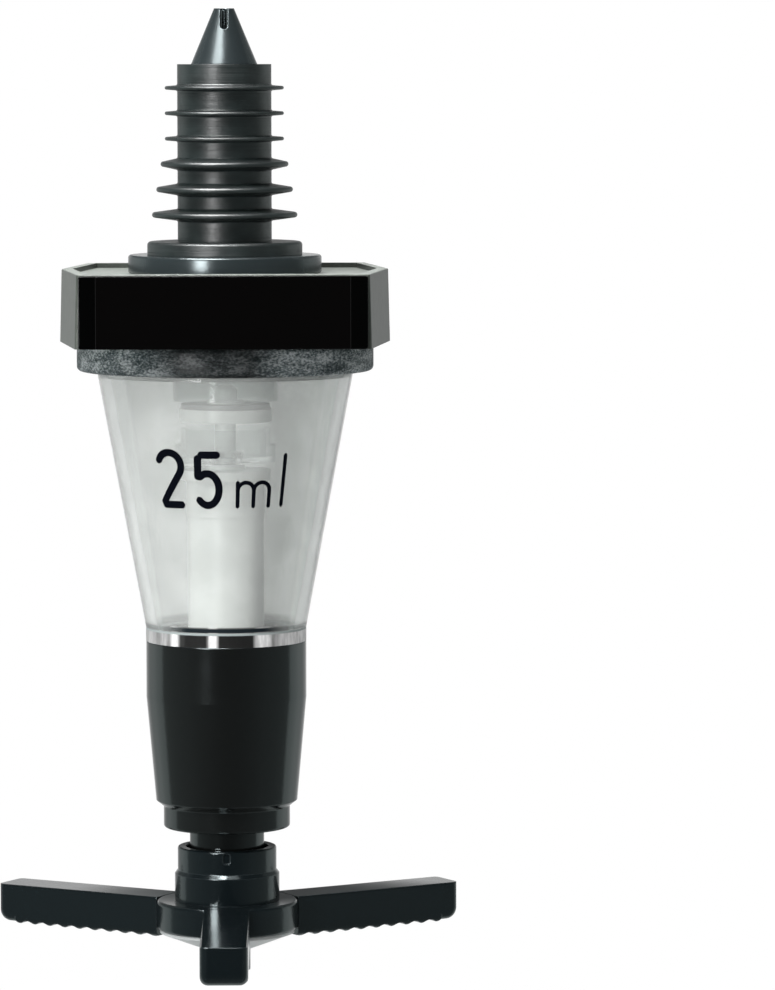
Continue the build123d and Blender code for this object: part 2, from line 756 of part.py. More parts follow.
def arm_side(reach):
    """Lines of one arm's side view, with its scalloped underside, in the open line builder."""
    root_r = (hub_r + nozzle_rim_r) / 2
    underside = hub_top - arm_h
    rise = arm_taper / (reach - root_r)
    half_tip = scallop_tip_w / 2
    first_tip = hub_r + half_tip

    def foot(r, lift=0.0):
        return (r, underside + rise * (r - root_r) + lift)

    toe_start = reach - arm_toe_r
    room = toe_start - scallop_margin - half_tip - first_tip
    scallop_count = 1 + int(room / scallop_pitch)
    last_tip = first_tip + (scallop_count - 1) * scallop_pitch
    Line((root_r, hub_top), foot(root_r, scallop_crown))
    Line(foot(root_r, scallop_crown), foot(first_tip - half_tip, scallop_crown))
    for k in range(scallop_count):
        r = first_tip + k * scallop_pitch
        ThreePointArc(foot(r - half_tip, scallop_crown), foot(r), foot(r + half_tip, scallop_crown))
        if k < scallop_count - 1:
            mid = r + scallop_pitch / 2
            end = r + scallop_pitch - half_tip
            hollow_end = foot(end, scallop_crown)
            ThreePointArc(foot(r + half_tip, scallop_crown), foot(mid, scallop_depth), hollow_end)
    Line(foot(last_tip + half_tip, scallop_crown), foot(toe_start, scallop_crown))
    toe_end = (reach, foot(toe_start, scallop_crown)[1] + arm_toe_r)
    RadiusArc(foot(toe_start, scallop_crown), toe_end, -arm_toe_r)
    Line(toe_end, (reach, hub_top))
    Line((reach, hub_top), (root_r, hub_top))


# ---- push bar: hub disc and three arms, the front one longer ----
arms = []
for angle, reach in ((-90.0, front_reach), (30.0, side_reach), (150.0, side_reach)):
    with BuildPart() as arm:
        with BuildSketch(radial_plane(angle)):
            with BuildLine():
                arm_side(reach)
            make_face()
        extrude(amount=arm_w / 2, both=True)
        upright = arm.edges().filter_by(Axis.Z)
        fillet(upright.sort_by(lambda e: math.hypot(e.center().X, e.center().Y))[-2:], arm_end_r)
        with BuildSketch(facing_plane(angle, hub_top)) as arm_section:
            Rectangle(arm_w, arm_h, align=(Align.CENTER, Align.MAX))
            fillet(arm_section.vertices().group_by(Axis.Y)[-1], arm_top_round)
            fillet(arm_section.vertices().group_by(Axis.Y)[0], arm_foot_round)
        extrude(amount=reach, mode=Mode.INTERSECT)
    arms.append(arm.part)

with BuildPart() as push_bar:
    with BuildSketch(Plane.XZ) as hub_section:
        band(0, hub_r, hub_bottom, hub_top)
        fillet(hub_section.vertices().group_by(Axis.X)[-1], hub_round)
    revolve(axis=Axis.Z)
    add(arms)
    with BuildSketch(Plane.XZ):
        band(0, collar_bore_r, hub_floor, hub_top)
        band(0, tail_spigot_r + seat_gap, hub_bottom, hub_floor)
    revolve(axis=Axis.Z, mode=Mode.SUBTRACT)
push_bar.part.label = "push_bar"

# ---- nozzle: translucent funnel screwed on the column's end, below the hub ----
nozzle_ring_r = tail_spigot_r + seat_gap + nozzle_ring_wire_r
nozzle_ring_z = hub_bottom - nozzle_ring_wire_r - seat_gap
ring_groove_r = nozzle_ring_r + nozzle_ring_wire_r + seat_gap
ring_groove_bottom = nozzle_ring_z - nozzle_ring_wire_r - seat_gap
with BuildPart() as nozzle:
    with BuildSketch(Plane.XZ):
        section(
            (nozzle_bore_r, nozzle_bottom),
            (nozzle_r, nozzle_bottom),
            (nozzle_r, nozzle_cone_bottom),
            (nozzle_rim_r, hub_bottom - nozzle_rim_t),
            (nozzle_rim_r, hub_bottom),
            (ring_groove_r, hub_bottom),
            (ring_groove_r, ring_groove_bottom),
            (tail_spigot_r + seat_gap, ring_groove_bottom),
            (tail_spigot_r + seat_gap, tail_bottom - seat_gap),
            (nozzle_bore_r, tail_bottom - seat_gap),
        )
    revolve(axis=Axis.Z)
nozzle.part.label = "nozzle"

with BuildPart(Plane.XY.offset(nozzle_ring_z)) as nozzle_seal:
    Torus(nozzle_ring_r, nozzle_ring_wire_r)
nozzle_seal.part.label = "nozzle_seal"

pieces = [
    bottle_cork,
    inlet_stem,
    air_tube,
    label_housing,
    label_plate,
    chamber_lid,
    lid_o_ring,
    inlet_cage,
    chamber,
    chamber_seal,
    gland,
    upper_gland_seal,
    lower_gland_seal,
    lower_body,
    guide_sleeve,
    return_spring,
    push_bar,
    slide_collar,
    nozzle,
    nozzle_seal,
    valve_column,
    column_cap,
    splash_cup,
    cup_clip,
    valve_rod,
    seal_carrier,
    inlet_seal,
    rod_nut,
]
for piece in pieces:
    export_step(piece.part, f"parts/{piece.part.label}.step")
    print(f"{piece.part.label}: {piece.part.volume:.1f} mm3")
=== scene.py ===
# %% [markdown]
# # A bar optic, dressed for its picture
# A bar optic measures one shot of spirit out of an upturned bottle. Its hard parts come from the packed
# CAD model, already in place and at their real size. This script gives every one of them its finish, makes
# the spring and the printed measure as surfaces, and sets up the studio and the camera. Blender counts in
# metres, so a size is written as a number times mm.

# %% Load the frame
import math

import bpy
import numpy as np
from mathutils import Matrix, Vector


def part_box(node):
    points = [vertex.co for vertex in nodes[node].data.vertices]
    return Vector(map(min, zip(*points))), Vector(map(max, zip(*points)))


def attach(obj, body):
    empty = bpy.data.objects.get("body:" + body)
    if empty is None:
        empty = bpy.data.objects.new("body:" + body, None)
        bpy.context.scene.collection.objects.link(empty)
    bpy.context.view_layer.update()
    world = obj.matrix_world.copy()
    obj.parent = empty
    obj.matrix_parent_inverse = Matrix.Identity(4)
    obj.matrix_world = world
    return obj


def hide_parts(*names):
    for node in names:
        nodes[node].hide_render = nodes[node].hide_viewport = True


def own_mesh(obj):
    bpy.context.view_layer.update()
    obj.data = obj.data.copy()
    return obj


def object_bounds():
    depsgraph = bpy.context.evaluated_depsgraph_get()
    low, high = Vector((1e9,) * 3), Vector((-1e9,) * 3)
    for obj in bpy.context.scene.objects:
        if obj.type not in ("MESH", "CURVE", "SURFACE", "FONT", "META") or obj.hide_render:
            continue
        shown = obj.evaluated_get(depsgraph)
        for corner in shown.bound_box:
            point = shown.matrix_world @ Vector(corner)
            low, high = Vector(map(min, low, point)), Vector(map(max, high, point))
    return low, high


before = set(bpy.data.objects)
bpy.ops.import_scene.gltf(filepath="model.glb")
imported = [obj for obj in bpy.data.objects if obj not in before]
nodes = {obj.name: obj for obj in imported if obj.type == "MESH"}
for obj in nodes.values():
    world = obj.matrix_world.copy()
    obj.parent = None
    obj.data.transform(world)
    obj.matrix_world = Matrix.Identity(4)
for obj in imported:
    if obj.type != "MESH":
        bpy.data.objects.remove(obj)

cad_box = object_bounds()
scene = bpy.context.scene
mm = 0.001
print(len(nodes), "CAD nodes, box from", cad_box[0], "to", cad_box[1])

# %% [markdown]
# ## Camera
# The optic hangs in front of a long lens, a little below the camera's height. A constraint could aim the
# camera straight at it. Here the angles are set one by one, because a camera that looks a little past the
# object puts it left of the middle without a shifted lens. The focal length is given in pixels of the
# picture first, because that is how a view is measured, and is then turned into millimetres on Blender's
# 36 mm sensor.

# %% Camera
picture_height = 990
focal_pixels = 5520.0
sensor_size = 36.0
camera_distance = 0.92
look_height = -37.83 * mm
pitch_down = math.radians(4.6)
yaw_right = math.radians(1.69)
stand_right = math.radians(0.7)
roll = math.radians(0.08)

camera_data = bpy.data.cameras.new("studio_camera")
camera_data.sensor_fit = "VERTICAL"
camera_data.sensor_height = sensor_size
camera_data.lens = focal_pixels * sensor_size / picture_height
camera_data.clip_start, camera_data.clip_end = 0.05, 30.0
camera = bpy.data.objects.new("studio_camera", camera_data)
level_distance = camera_distance * math.cos(pitch_down)
camera.location = (
    level_distance * math.sin(stand_right),
    -level_distance * math.cos(stand_right),
    look_height + camera_distance * math.sin(pitch_down),
)
camera.rotation_euler = (math.radians(90) - pitch_down, roll, stand_right - yaw_right)
scene.collection.objects.link(camera)
scene.camera = camera
print("lens", round(camera_data.lens, 1), "mm, camera at", tuple(round(v, 3) for v in camera.location))

# %% [markdown]
# ## Node helpers
# A material in Blender is a tree of nodes. It can be drawn by hand in the shader editor, or written out, as
# here, so that one recipe can serve several parts. Small helpers keep the recipes short. A link is given as
# (node, output) wherever a plain value could stand, so each node is written together with what it reads.
# A group is a tree that several materials share.

# %% Node helpers
def fill(tree, node, inputs):
    """Fills a node's inputs, by name or number, with plain values or with links as (node, output)."""
    for key, value in inputs.items():
        if isinstance(value, tuple) and isinstance(value[0], bpy.types.Node):
            source, output = value
            tree.links.new(source.outputs[output], node.inputs[key])
        else:
            node.inputs[key].default_value = value


def add_node(tree, kind, inputs=None, **settings):
    """One new node: settings are its properties, and inputs fill its sockets."""
    made = tree.nodes.new(kind)
    for key, value in settings.items():
        setattr(made, key, value)
    fill(tree, made, inputs or {})
    return made


def new_group(name, inputs, outputs):
    """A node group with named float, vector or colour sockets: (tree, its input node, its output node)."""
    group = bpy.data.node_groups.new(name, "ShaderNodeTree")
    for label, kind, value in inputs:
        socket = group.interface.new_socket(label, in_out="INPUT", socket_type=kind)
        socket.default_value = value
    for label, kind in outputs:
        group.interface.new_socket(label, in_out="OUTPUT", socket_type=kind)
    return group, group.nodes.new("NodeGroupInput"), group.nodes.new("NodeGroupOutput")


def place_group(tree, group, **inputs):
    """The group as one node of a tree; underscores in the names of its inputs stand for spaces."""
    named = {key.replace("_", " "): value for key, value in inputs.items()}
    return add_node(tree, "ShaderNodeGroup", named, node_tree=group)


print("helpers to fill inputs, add nodes, and make and place groups")

# %% [markdown]
# Some steps come back in nearly every tree: a sum of two values, one range turned into another, the
# object's own coordinates, and the three numbers of a vector. Each is one call from here on.

# %% Small steps
def add_math(tree, operation, first, second, use_clamp=False):
    """A Math node on two inputs, each a number or a link."""
    return add_node(tree, "ShaderNodeMath", {0: first, 1: second}, operation=operation, use_clamp=use_clamp)


def map_range(tree, value, low, high, at_low=0.0, at_high=1.0):
    """A Map Range node: a straight line from at_low, where value is low, to at_high, and level beyond."""
    ends = {"From Min": low, "From Max": high, "To Min": at_low, "To Max": at_high}
    return add_node(tree, "ShaderNodeMapRange", {"Value": value, **ends})


def own_place(tree):
    """A link to the object's own coordinates; a pattern on them stays on the part as it moves."""
    return add_node(tree, "ShaderNodeTexCoord"), "Object"


def split_vector(tree, link):
    """The X, Y and Z of a place, direction or normal."""
    return add_node(tree, "ShaderNodeSeparateXYZ", {0: link})


print("helpers for sums, ranges and places")

# %% [markdown]
# ## Shared effects
# Moulded plastic is never one even colour. It has a fine grain from the mould, a gloss that varies where
# hands have been, corners that are a little rounded and rubbed, and dust on the faces that look up. Painted
# images could show this too, but they need every part unwrapped. Noise on the object's own coordinates
# needs no unwrapping and has no end of detail. Each effect is one group, so every material can use it at
# its own scale and strength.

# %% Group: mould grain
FLOAT, VECTOR, COLOUR = "NodeSocketFloat", "NodeSocketVector", "NodeSocketColor"

mould_grain, g_in, g_out = new_group(
    "Mould grain",
    [("Scale", FLOAT, 3000.0), ("Stretch", VECTOR, (1.0, 1.0, 1.0)), ("Detail", FLOAT, 3.0)],
    [("Height", FLOAT)],
)
place, stretch = own_place(mould_grain), (g_in, "Stretch")
stretched = add_node(mould_grain, "ShaderNodeVectorMath", {0: place, 1: stretch}, operation="MULTIPLY")
grain_noise = add_node(
    mould_grain,
    "ShaderNodeTexNoise",
    {"Vector": (stretched, "Vector"), "Scale": (g_in, "Scale"), "Detail": (g_in, "Detail")},
)
fill(mould_grain, g_out, {"Height": (grain_noise, "Fac")})
print("group", mould_grain.name, "with", len(mould_grain.nodes), "nodes")

# %% [markdown]
# Hands smear the gloss. The smears could be painted by hand, but a noise with some distortion looks smeared
# by itself. It moves the roughness a little up and down round the value that a material asks for.

# %% Group: handled gloss
handled_gloss, g_in, g_out = new_group(
    "Handled gloss",
    [("Roughness", FLOAT, 0.2), ("Spread", FLOAT, 0.1), ("Scale", FLOAT, 120.0)],
    [("Roughness", FLOAT)],
)
smear = {"Detail": 5.0, "Roughness": 0.6, "Distortion": 0.8}
placed = {"Vector": own_place(handled_gloss), "Scale": (g_in, "Scale")}
smudges = add_node(handled_gloss, "ShaderNodeTexNoise", {**placed, **smear})
centred = add_math(handled_gloss, "SUBTRACT", (smudges, "Fac"), 0.5)
scaled = add_math(handled_gloss, "MULTIPLY", (centred, 0), (g_in, "Spread"))
raised = add_math(handled_gloss, "ADD", (scaled, 0), (g_in, "Roughness"), use_clamp=True)
fill(handled_gloss, g_out, {"Roughness": (raised, 0)})
print("group", handled_gloss.name, "with", len(handled_gloss.nodes), "nodes")

# %% [markdown]
# A Bevel node gives the normal that a rounded corner would have. Where it parts from the true normal there
# is a corner, so the same node rounds the corners and finds where they are rubbed.

# %% Group: edge wear
edge_wear, g_in, g_out = new_group(
    "Edge wear",
    [("Radius", FLOAT, 0.2 * mm), ("Breakup Scale", FLOAT, 900.0), ("Amount", FLOAT, 1.0)],
    [("Mask", FLOAT), ("Normal", VECTOR)],
)
flat_agreement, edge_agreement = 0.995, 0.9
rounded = add_node(edge_wear, "ShaderNodeBevel", {"Radius": (g_in, "Radius")}, samples=6)
surface = add_node(edge_wear, "ShaderNodeNewGeometry")
both_normals = {0: (rounded, "Normal"), 1: (surface, "Normal")}
agreement = add_node(edge_wear, "ShaderNodeVectorMath", both_normals, operation="DOT_PRODUCT")
near_edge = map_range(edge_wear, (agreement, "Value"), flat_agreement, edge_agreement)
placed = {"Vector": own_place(edge_wear), "Scale": (g_in, "Breakup Scale")}
breakup = add_node(edge_wear, "ShaderNodeTexNoise", {**placed, "Detail": 4.0})
broken = add_math(edge_wear, "MULTIPLY", (near_edge, "Result"), (breakup, "Fac"))
weighed = add_math(edge_wear, "MULTIPLY", (broken, 0), (g_in, "Amount"), use_clamp=True)
fill(edge_wear, g_out, {"Mask": (weighed, 0), "Normal": (rounded, "Normal")})
print("group", edge_wear.name, "with", len(edge_wear.nodes), "nodes")

# %% [markdown]
# Dust could be strewn as thousands of tiny solids, but at this size a mask does as well: it is there where
# the surface looks up, times a fine noise that is cut into specks.

# %% Group: settled dust
def facing_up(tree, start, full):
    """A mask of faces that look up: 0 where the normal's Z is start or less, and 1 from full on."""
    surface = add_node(tree, "ShaderNodeNewGeometry")
    return map_range(tree, (split_vector(tree, (surface, "Normal")), "Z"), start, full)


settled_dust, g_in, g_out = new_group(
    "Settled dust",
    [("Amount", FLOAT, 0.3), ("Scale", FLOAT, 2500.0)],
    [("Mask", FLOAT)],
)
looks_up = facing_up(settled_dust, 0.5, 1.0)
placed = {"Vector": own_place(settled_dust), "Scale": (g_in, "Scale")}
specks = add_node(settled_dust, "ShaderNodeTexNoise", {**placed, "Detail": 2.0})
speckled = map_range(settled_dust, (specks, "Fac"), 0.55, 0.75)
on_top = add_math(settled_dust, "MULTIPLY", (looks_up, "Result"), (speckled, "Result"))
weighed = add_math(settled_dust, "MULTIPLY", (on_top, 0), (g_in, "Amount"), use_clamp=True)
fill(settled_dust, g_out, {"Mask": (weighed, 0)})
print("group", settled_dust.name, "with", len(settled_dust.nodes), "nodes")

# %% [markdown]
# The push bar's top is duller round the hub, where no glass polishes it. A painted mask could show it, and
# so can the distance from a point: the dull place is an oval, half as deep as it is wide, a little right of
# and behind the axis. Only faces that look up take part.

# %% Group: dull top
dull_top, g_in, g_out = new_group(
    "Dull top",
    [("Roughness", FLOAT, 0.2), ("Dull Roughness", FLOAT, 0.5), ("Inner", FLOAT, 14 * mm),
     ("Outer", FLOAT, 36 * mm)],
    [("Roughness", FLOAT)],
)
oval_right, oval_back = 8 * mm, 8 * mm
oval_squeeze = 2.0
from_middle = {1: (1.0, oval_squeeze, 0.0), 2: (-oval_right, -oval_squeeze * oval_back, 0.0)}
level = add_node(
    dull_top, "ShaderNodeVectorMath", {0: own_place(dull_top), **from_middle}, operation="MULTIPLY_ADD"
)
distance = add_node(dull_top, "ShaderNodeVectorMath", {0: (level, "Vector")}, operation="LENGTH")
near = map_range(dull_top, (distance, "Value"), (g_in, "Inner"), (g_in, "Outer"), at_low=1.0, at_high=0.0)
looks_up = facing_up(dull_top, 0.8, 0.95)
both = add_math(dull_top, "MULTIPLY", (near, "Result"), (looks_up, "Result"))
gloss_and_dull = {"A": (g_in, "Roughness"), "B": (g_in, "Dull Roughness")}
mixed = add_node(dull_top, "ShaderNodeMix", {0: (both, 0), **gloss_and_dull}, data_type="FLOAT")
fill(dull_top, g_out, {"Roughness": (mixed, "Result")})
print("group", dull_top.name, "with", len(dull_top.nodes), "nodes")

# %% [markdown]
# ## Materials
# Every recipe starts the same way: an empty material with one Principled shader. What differs is the
# colour, the gloss and which shared effects are laid over it. What changes over the surface is linked. What
# is the same all over is set on the shader itself, because an exported model keeps only that.

# %% Material helpers
def new_material(name):
    """A material with a Principled shader on its output: (material, tree, shader, output)."""
    material = bpy.data.materials.new(name)
    material.use_nodes = True
    tree = material.node_tree
    tree.nodes.clear()
    shader = add_node(tree, "ShaderNodeBsdfPrincipled")
    output = add_node(tree, "ShaderNodeOutputMaterial", {"Surface": (shader, "BSDF")})
    return material, tree, shader, output


def dress(tree, shader, colour, gloss, normal, plain):
    """Links a shader's colour, roughness and normal to three nodes, and sets its plain values."""
    fill(tree, shader, {"Base Color": (colour, "Result"), "Roughness": (gloss, "Roughness")})
    fill(tree, shader, {"Normal": (normal, "Normal"), **plain})


def finish_nodes(material, *names):
    """Puts a material on CAD nodes by their names."""
    for name in names:
        piece = nodes[name]
        if not piece.material_slots:
            piece.data.materials.append(material)
        for holder in piece.material_slots:
            holder.material = material
    print(material.name, "on", ", ".join(names))


print("helpers for materials")

# %% [markdown]
# Two colours are mixed by a mask or multiplied, a ramp turns a value into a shade, and a height becomes a
# bump. Each helper places the one node that does it.

# %% Colour helpers
def mix_colours(tree, mask, first, second, blend_type="MIX"):
    """A Mix node from one colour to another by a mask; a colour is three numbers or a link."""
    colours = {
        key: value if isinstance(value[0], bpy.types.Node) else (*value, 1.0)
        for key, value in (("A", first), ("B", second))
    }
    return add_node(tree, "ShaderNodeMix", {0: mask, **colours}, data_type="RGBA", blend_type=blend_type)


def multiply_colours(tree, first, second):
    """One colour times another, channel by channel."""
    return mix_colours(tree, 1.0, first, second, blend_type="MULTIPLY")


def add_ramp(tree, value, stops):
    """A colour ramp on a value, from stops of (place, grey or colour)."""
    ramp = add_node(tree, "ShaderNodeValToRGB", {"Fac": value})
    for spare in list(ramp.color_ramp.elements)[1:]:
        ramp.color_ramp.elements.remove(spare)
    for number, (place, shade) in enumerate(stops):
        colour = (shade, shade, shade) if isinstance(shade, float) else shade
        stop = ramp.color_ramp.elements[0] if number == 0 else ramp.color_ramp.elements.new(place)
        stop.position = place
        stop.color = (*colour, 1.0)
    return ramp


def add_bump(tree, height, distance, strength=1.0, normal=None):
    """A Bump node that reads a height and, where given, bends the normal of another node."""
    bump = add_node(tree, "ShaderNodeBump", {"Height": height, "Distance": distance, "Strength": strength})
    if normal is not None:
        fill(tree, bump, {"Normal": (normal, "Normal")})
    return bump


print("helpers for colours, ramps and bumps")

# %% [markdown]
# ### Black moulded plastic
# The stem, the lower body, the slide collar and the push bar are glossy black acetal. It is not quite
# black: its reflections lean to blue-green, its corners catch light because they are a little rounded, and
# rubbed corners are paler. One flat black would do from afar, but close up only these small differences
# show its shape. One recipe makes all three blacks, and the dull place on top is strongest on the push bar.

# %% Black moulded plastic
dust_grey = (0.14, 0.14, 0.135)


def black_plastic(name, colour, worn, roughness, edge_radius, dust=0.25, grain=0.02, dull_roughness=0.2):
    """Gloss black plastic: grain, smudged gloss, a duller top, rounded and rubbed edges, a little dust."""
    material, tree, shader, _ = new_material(name)
    edges = place_group(tree, edge_wear, Radius=edge_radius, Amount=0.8)
    dusted = place_group(tree, settled_dust, Amount=dust)
    gloss = place_group(tree, handled_gloss, Roughness=roughness, Spread=roughness * 0.7)
    dulled = place_group(tree, dull_top, Roughness=(gloss, "Roughness"), Dull_Roughness=dull_roughness)
    grained = place_group(tree, mould_grain, Scale=1400.0)
    rubbed = mix_colours(tree, (edges, "Mask"), colour, worn)
    topped = mix_colours(tree, (dusted, "Mask"), (rubbed, "Result"), dust_grey)
    bump = add_bump(tree, (grained, "Height"), grain * mm, 0.5, edges)
    dress(tree, shader, topped, dulled, bump, {"IOR": 1.5, "Specular Tint": (0.86, 0.98, 1.0, 1.0)})
    return material


stem_black = black_plastic("stem_black", (0.020, 0.026, 0.028), (0.08, 0.10, 0.11), 0.23, 0.25 * mm)
body_black = black_plastic("body_black", (0.0042, 0.0044, 0.0042), (0.03, 0.034, 0.036), 0.12, 0.35 * mm)
bar_black = black_plastic(
    "bar_black", (0.003, 0.005, 0.006), (0.05, 0.06, 0.065), 0.14, 0.30 * mm, dust=0.08, grain=0.035,
    dull_roughness=0.55,
)
finish_nodes(stem_black, "inlet_stem")
finish_nodes(body_black, "lower_body", "gland", "guide_sleeve")
finish_nodes(bar_black, "push_bar", "slide_collar")

# %% [markdown]
# ### Gloss plate
# The label plate is deep gloss black, polished flatter than moulded plastic, with a black card on it that
# is a little narrower. The card could be a second solid, but it is thinner than paper, so a mask on the
# sideways distance from the middle draws its step and its pale edge. A faint orange-peel bump and a slow
# change of gloss keep the plate from looking like a hole.

# %% Gloss plate: card
card_inset = 2.9 * mm
card_edge_width = 0.12 * mm
card_half_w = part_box("label_plate")[1][0] - card_inset
plate_black, tree, shader, _ = new_material("plate_black")
parts = split_vector(tree, own_place(tree))
sideways = add_node(tree, "ShaderNodeMath", {0: (parts, "X")}, operation="ABSOLUTE")
on_card = map_range(tree, (sideways, 0), card_half_w + card_edge_width, card_half_w)
print("card", round(2 * card_half_w / mm, 1), "mm wide")

# %% Gloss plate: finish
plate_colour, card_colour = (0.0004, 0.0004, 0.0004), (0.0012, 0.0010, 0.0010)
card_edge_colour, rubbed_colour = (0.012, 0.012, 0.012), (0.02, 0.02, 0.021)
gloss = place_group(tree, handled_gloss, Roughness=0.09, Spread=0.05, Scale=90.0)
peel = place_group(tree, mould_grain, Scale=420.0, Detail=1.0)
edges = place_group(tree, edge_wear, Radius=0.15 * mm, Amount=0.5)
card_edge = add_ramp(tree, (on_card, "Result"), [(0.0, 0.0), (0.5, 1.0), (1.0, 0.0)])
carded = mix_colours(tree, (on_card, "Result"), plate_colour, card_colour)
edged = mix_colours(tree, (card_edge, "Color"), (carded, "Result"), card_edge_colour)
rubbed = mix_colours(tree, (edges, "Mask"), (edged, "Result"), rubbed_colour)
stepped = add_bump(tree, (on_card, "Result"), 0.004 * mm, 0.3, edges)
bump = add_bump(tree, (peel, "Height"), 0.01 * mm, 0.3, stepped)
dress(tree, shader, rubbed, gloss, bump, {"IOR": 1.45, "Specular IOR Level": 0.15})
finish_nodes(plate_black, "label_plate")

# %% [markdown]
# ### Rubber
# The cork is a soft black rubber that has bloomed to a blue-grey, with fine lines left by its turned
# mould. The lines could be cut as grooves, but they are far finer than a mesh, so they are a noise squeezed
# hard along Z. The same recipe, darker and smoother, makes the seals, and paler the silicone one.

# %% Rubber
def rubber(name, dark, pale, roughness, line_depth, line_scale):
    """Matt rubber: a mottled bloom, fine level mould lines and a fine grain."""
    material, tree, shader, _ = new_material(name)
    bloom = place_group(tree, mould_grain, Scale=260.0, Detail=6.0, Stretch=(1.0, 1.0, 1.6))
    lines = place_group(tree, mould_grain, Scale=line_scale, Detail=2.0, Stretch=(0.02, 0.02, 1.0))
    grain = place_group(tree, mould_grain, Scale=5200.0)
    gloss = place_group(tree, handled_gloss, Roughness=roughness, Spread=0.25, Scale=400.0)
    edges = place_group(tree, edge_wear, Radius=0.15 * mm)
    mottled = mix_colours(tree, (bloom, "Height"), dark, pale)
    lined = add_bump(tree, (lines, "Height"), line_depth, 0.6, edges)
    grained = add_bump(tree, (grain, "Height"), 0.02 * mm, 0.35, lined)
    dress(tree, shader, mottled, gloss, grained, {"IOR": 1.52})
    return material


cork_rubber = rubber("cork_rubber", (0.002, 0.0035, 0.0035), (0.019, 0.028, 0.028), 0.40, 0.14 * mm, 2600.0)
seal_rubber = rubber("seal_rubber", (0.010, 0.010, 0.011), (0.018, 0.018, 0.019), 0.38, 0.01 * mm, 900.0)
silicone = rubber("silicone", (0.11, 0.12, 0.12), (0.17, 0.18, 0.18), 0.45, 0.01 * mm, 900.0)
finish_nodes(cork_rubber, "bottle_cork")
finish_nodes(
    seal_rubber, "lid_o_ring", "chamber_seal", "upper_gland_seal", "lower_gland_seal", "nozzle_seal"
)
finish_nodes(silicone, "inlet_seal")

# %% [markdown]
# ### Clear plastic
# The chamber, its lid, the label housing, the inlet cage and the splash guard are clear styrene acrylic.
# Where the plastic is thick or scuffed it looks smoky. Modelling every bubble and scratch inside it would
# be endless, so a matt opaque shader is mixed in there, coloured by a mottle of two noises. Painted light
# and shade lie over the mottle: darker in front of the axis and behind it, paler beside it. A radial
# gradient gives the place round the axis as 0 to 1, with the front at 0.25 and the right-hand side at 0.5.

# %% Group: smoky mottle with painted light and shade
def round_axis(tree):
    """The place round Z as 0 to 1, from the angle of the object's own coordinates."""
    return add_node(tree, "ShaderNodeTexGradient", {"Vector": own_place(tree)}, gradient_type="RADIAL")


smoke_stops = [(0.40, (0.020, 0.030, 0.032)), (0.50, (0.10, 0.12, 0.124)), (0.62, (0.34, 0.37, 0.375))]
# Painted light and shade round the axis: darker in front and behind, paler beside.
smoke_painted_light_stops = [
    (0.00, 0.9), (0.10, 1.0), (0.16, 0.85), (0.20, 0.20), (0.28, 0.13), (0.32, 0.9), (0.42, 1.4),
    (0.60, 0.5), (0.75, 0.25), (0.88, 0.8),
]
smoke_painted_light, g_in, g_out = new_group(
    "Smoky mottle, painted light",
    [("Fine Scale", FLOAT, 3600.0), ("Patch Scale", FLOAT, 330.0)],
    [("Color", COLOUR)],
)
fine_scale, patch_scale = (g_in, "Fine Scale"), (g_in, "Patch Scale")
fine = place_group(smoke_painted_light, mould_grain, Scale=fine_scale, Detail=2.0, Stretch=(0.55, 0.55, 1.0))
patchy = place_group(smoke_painted_light, mould_grain, Scale=patch_scale, Detail=2.0, Stretch=(0.5, 0.5, 1.6))
summed = add_math(smoke_painted_light, "ADD", (fine, "Height"), (patchy, "Height"))
halved = add_math(smoke_painted_light, "MULTIPLY", (summed, 0), 0.5)
smoke = add_ramp(smoke_painted_light, (halved, 0), smoke_stops)
# The painted light and shade, laid over the mottle.
shade = add_ramp(smoke_painted_light, (round_axis(smoke_painted_light), "Fac"), smoke_painted_light_stops)
shaded = multiply_colours(smoke_painted_light, (smoke, "Color"), (shade, "Color"))
fill(smoke_painted_light, g_out, {"Color": (shaded, "Result")})
print("group", smoke_painted_light.name, "with", len(smoke_painted_light.nodes), "nodes")

# %% [markdown]
# The thick foot of the chamber bends light from all round into a few bright patches between dark ones. A
# path tracer finds such patches slowly and with much noise, so they are painted on as glints instead: a
# ramp turns the place round the axis into dark and bright. Above the patches a painted pale line and a
# painted dark arc run round, where the rim inside the foot is seen through the wall. Their places are
# shares of the group's Foot Height, counted up from its Foot Bottom.

# %% Group: foot glints, round the axis
# Painted glints: bright patches of bent light between dark gaps, round the axis.
painted_glint_stops = [
    (0.00, 0.30), (0.06, 0.50), (0.09, 0.24), (0.115, 0.42), (0.128, 0.16), (0.136, 0.90), (0.146, 0.85),
    (0.155, 0.01), (0.214, 0.004), (0.220, 0.95), (0.230, 0.80), (0.238, 0.006), (0.305, 0.006),
    (0.318, 0.75), (0.338, 0.80), (0.350, 0.22), (0.372, 0.60), (0.41, 0.90), (0.50, 0.80), (0.53, 0.02),
    (0.60, 0.50), (0.68, 0.01), (0.78, 0.60), (0.90, 0.02),
]
arc_share_stops = [
    (0.00, 0.3), (0.12, 0.25), (0.17, 1.0), (0.33, 1.0), (0.38, 0.25), (0.60, 0.3), (0.72, 0.9),
    (0.90, 0.5),
]
foot_glints, g_in, g_out = new_group(
    "Foot glints",
    [("Foot Bottom", FLOAT, 0.0), ("Foot Height", FLOAT, 3 * mm)],
    [("Color", COLOUR), ("Cover", FLOAT)],
)
turn = (round_axis(foot_glints), "Fac")
glints = add_ramp(foot_glints, turn, painted_glint_stops)
arc_share = add_ramp(foot_glints, turn, arc_share_stops)
streaks = place_group(foot_glints, mould_grain, Scale=1500.0, Detail=3.0, Stretch=(1.0, 1.0, 0.25))
streak_shade = add_ramp(foot_glints, (streaks, "Height"), [(0.38, 0.70), (0.62, 1.0)])
streaked = multiply_colours(foot_glints, (glints, "Color"), (streak_shade, "Color"))
print("patches in", len(painted_glint_stops), "stops, arc in", len(arc_share_stops))
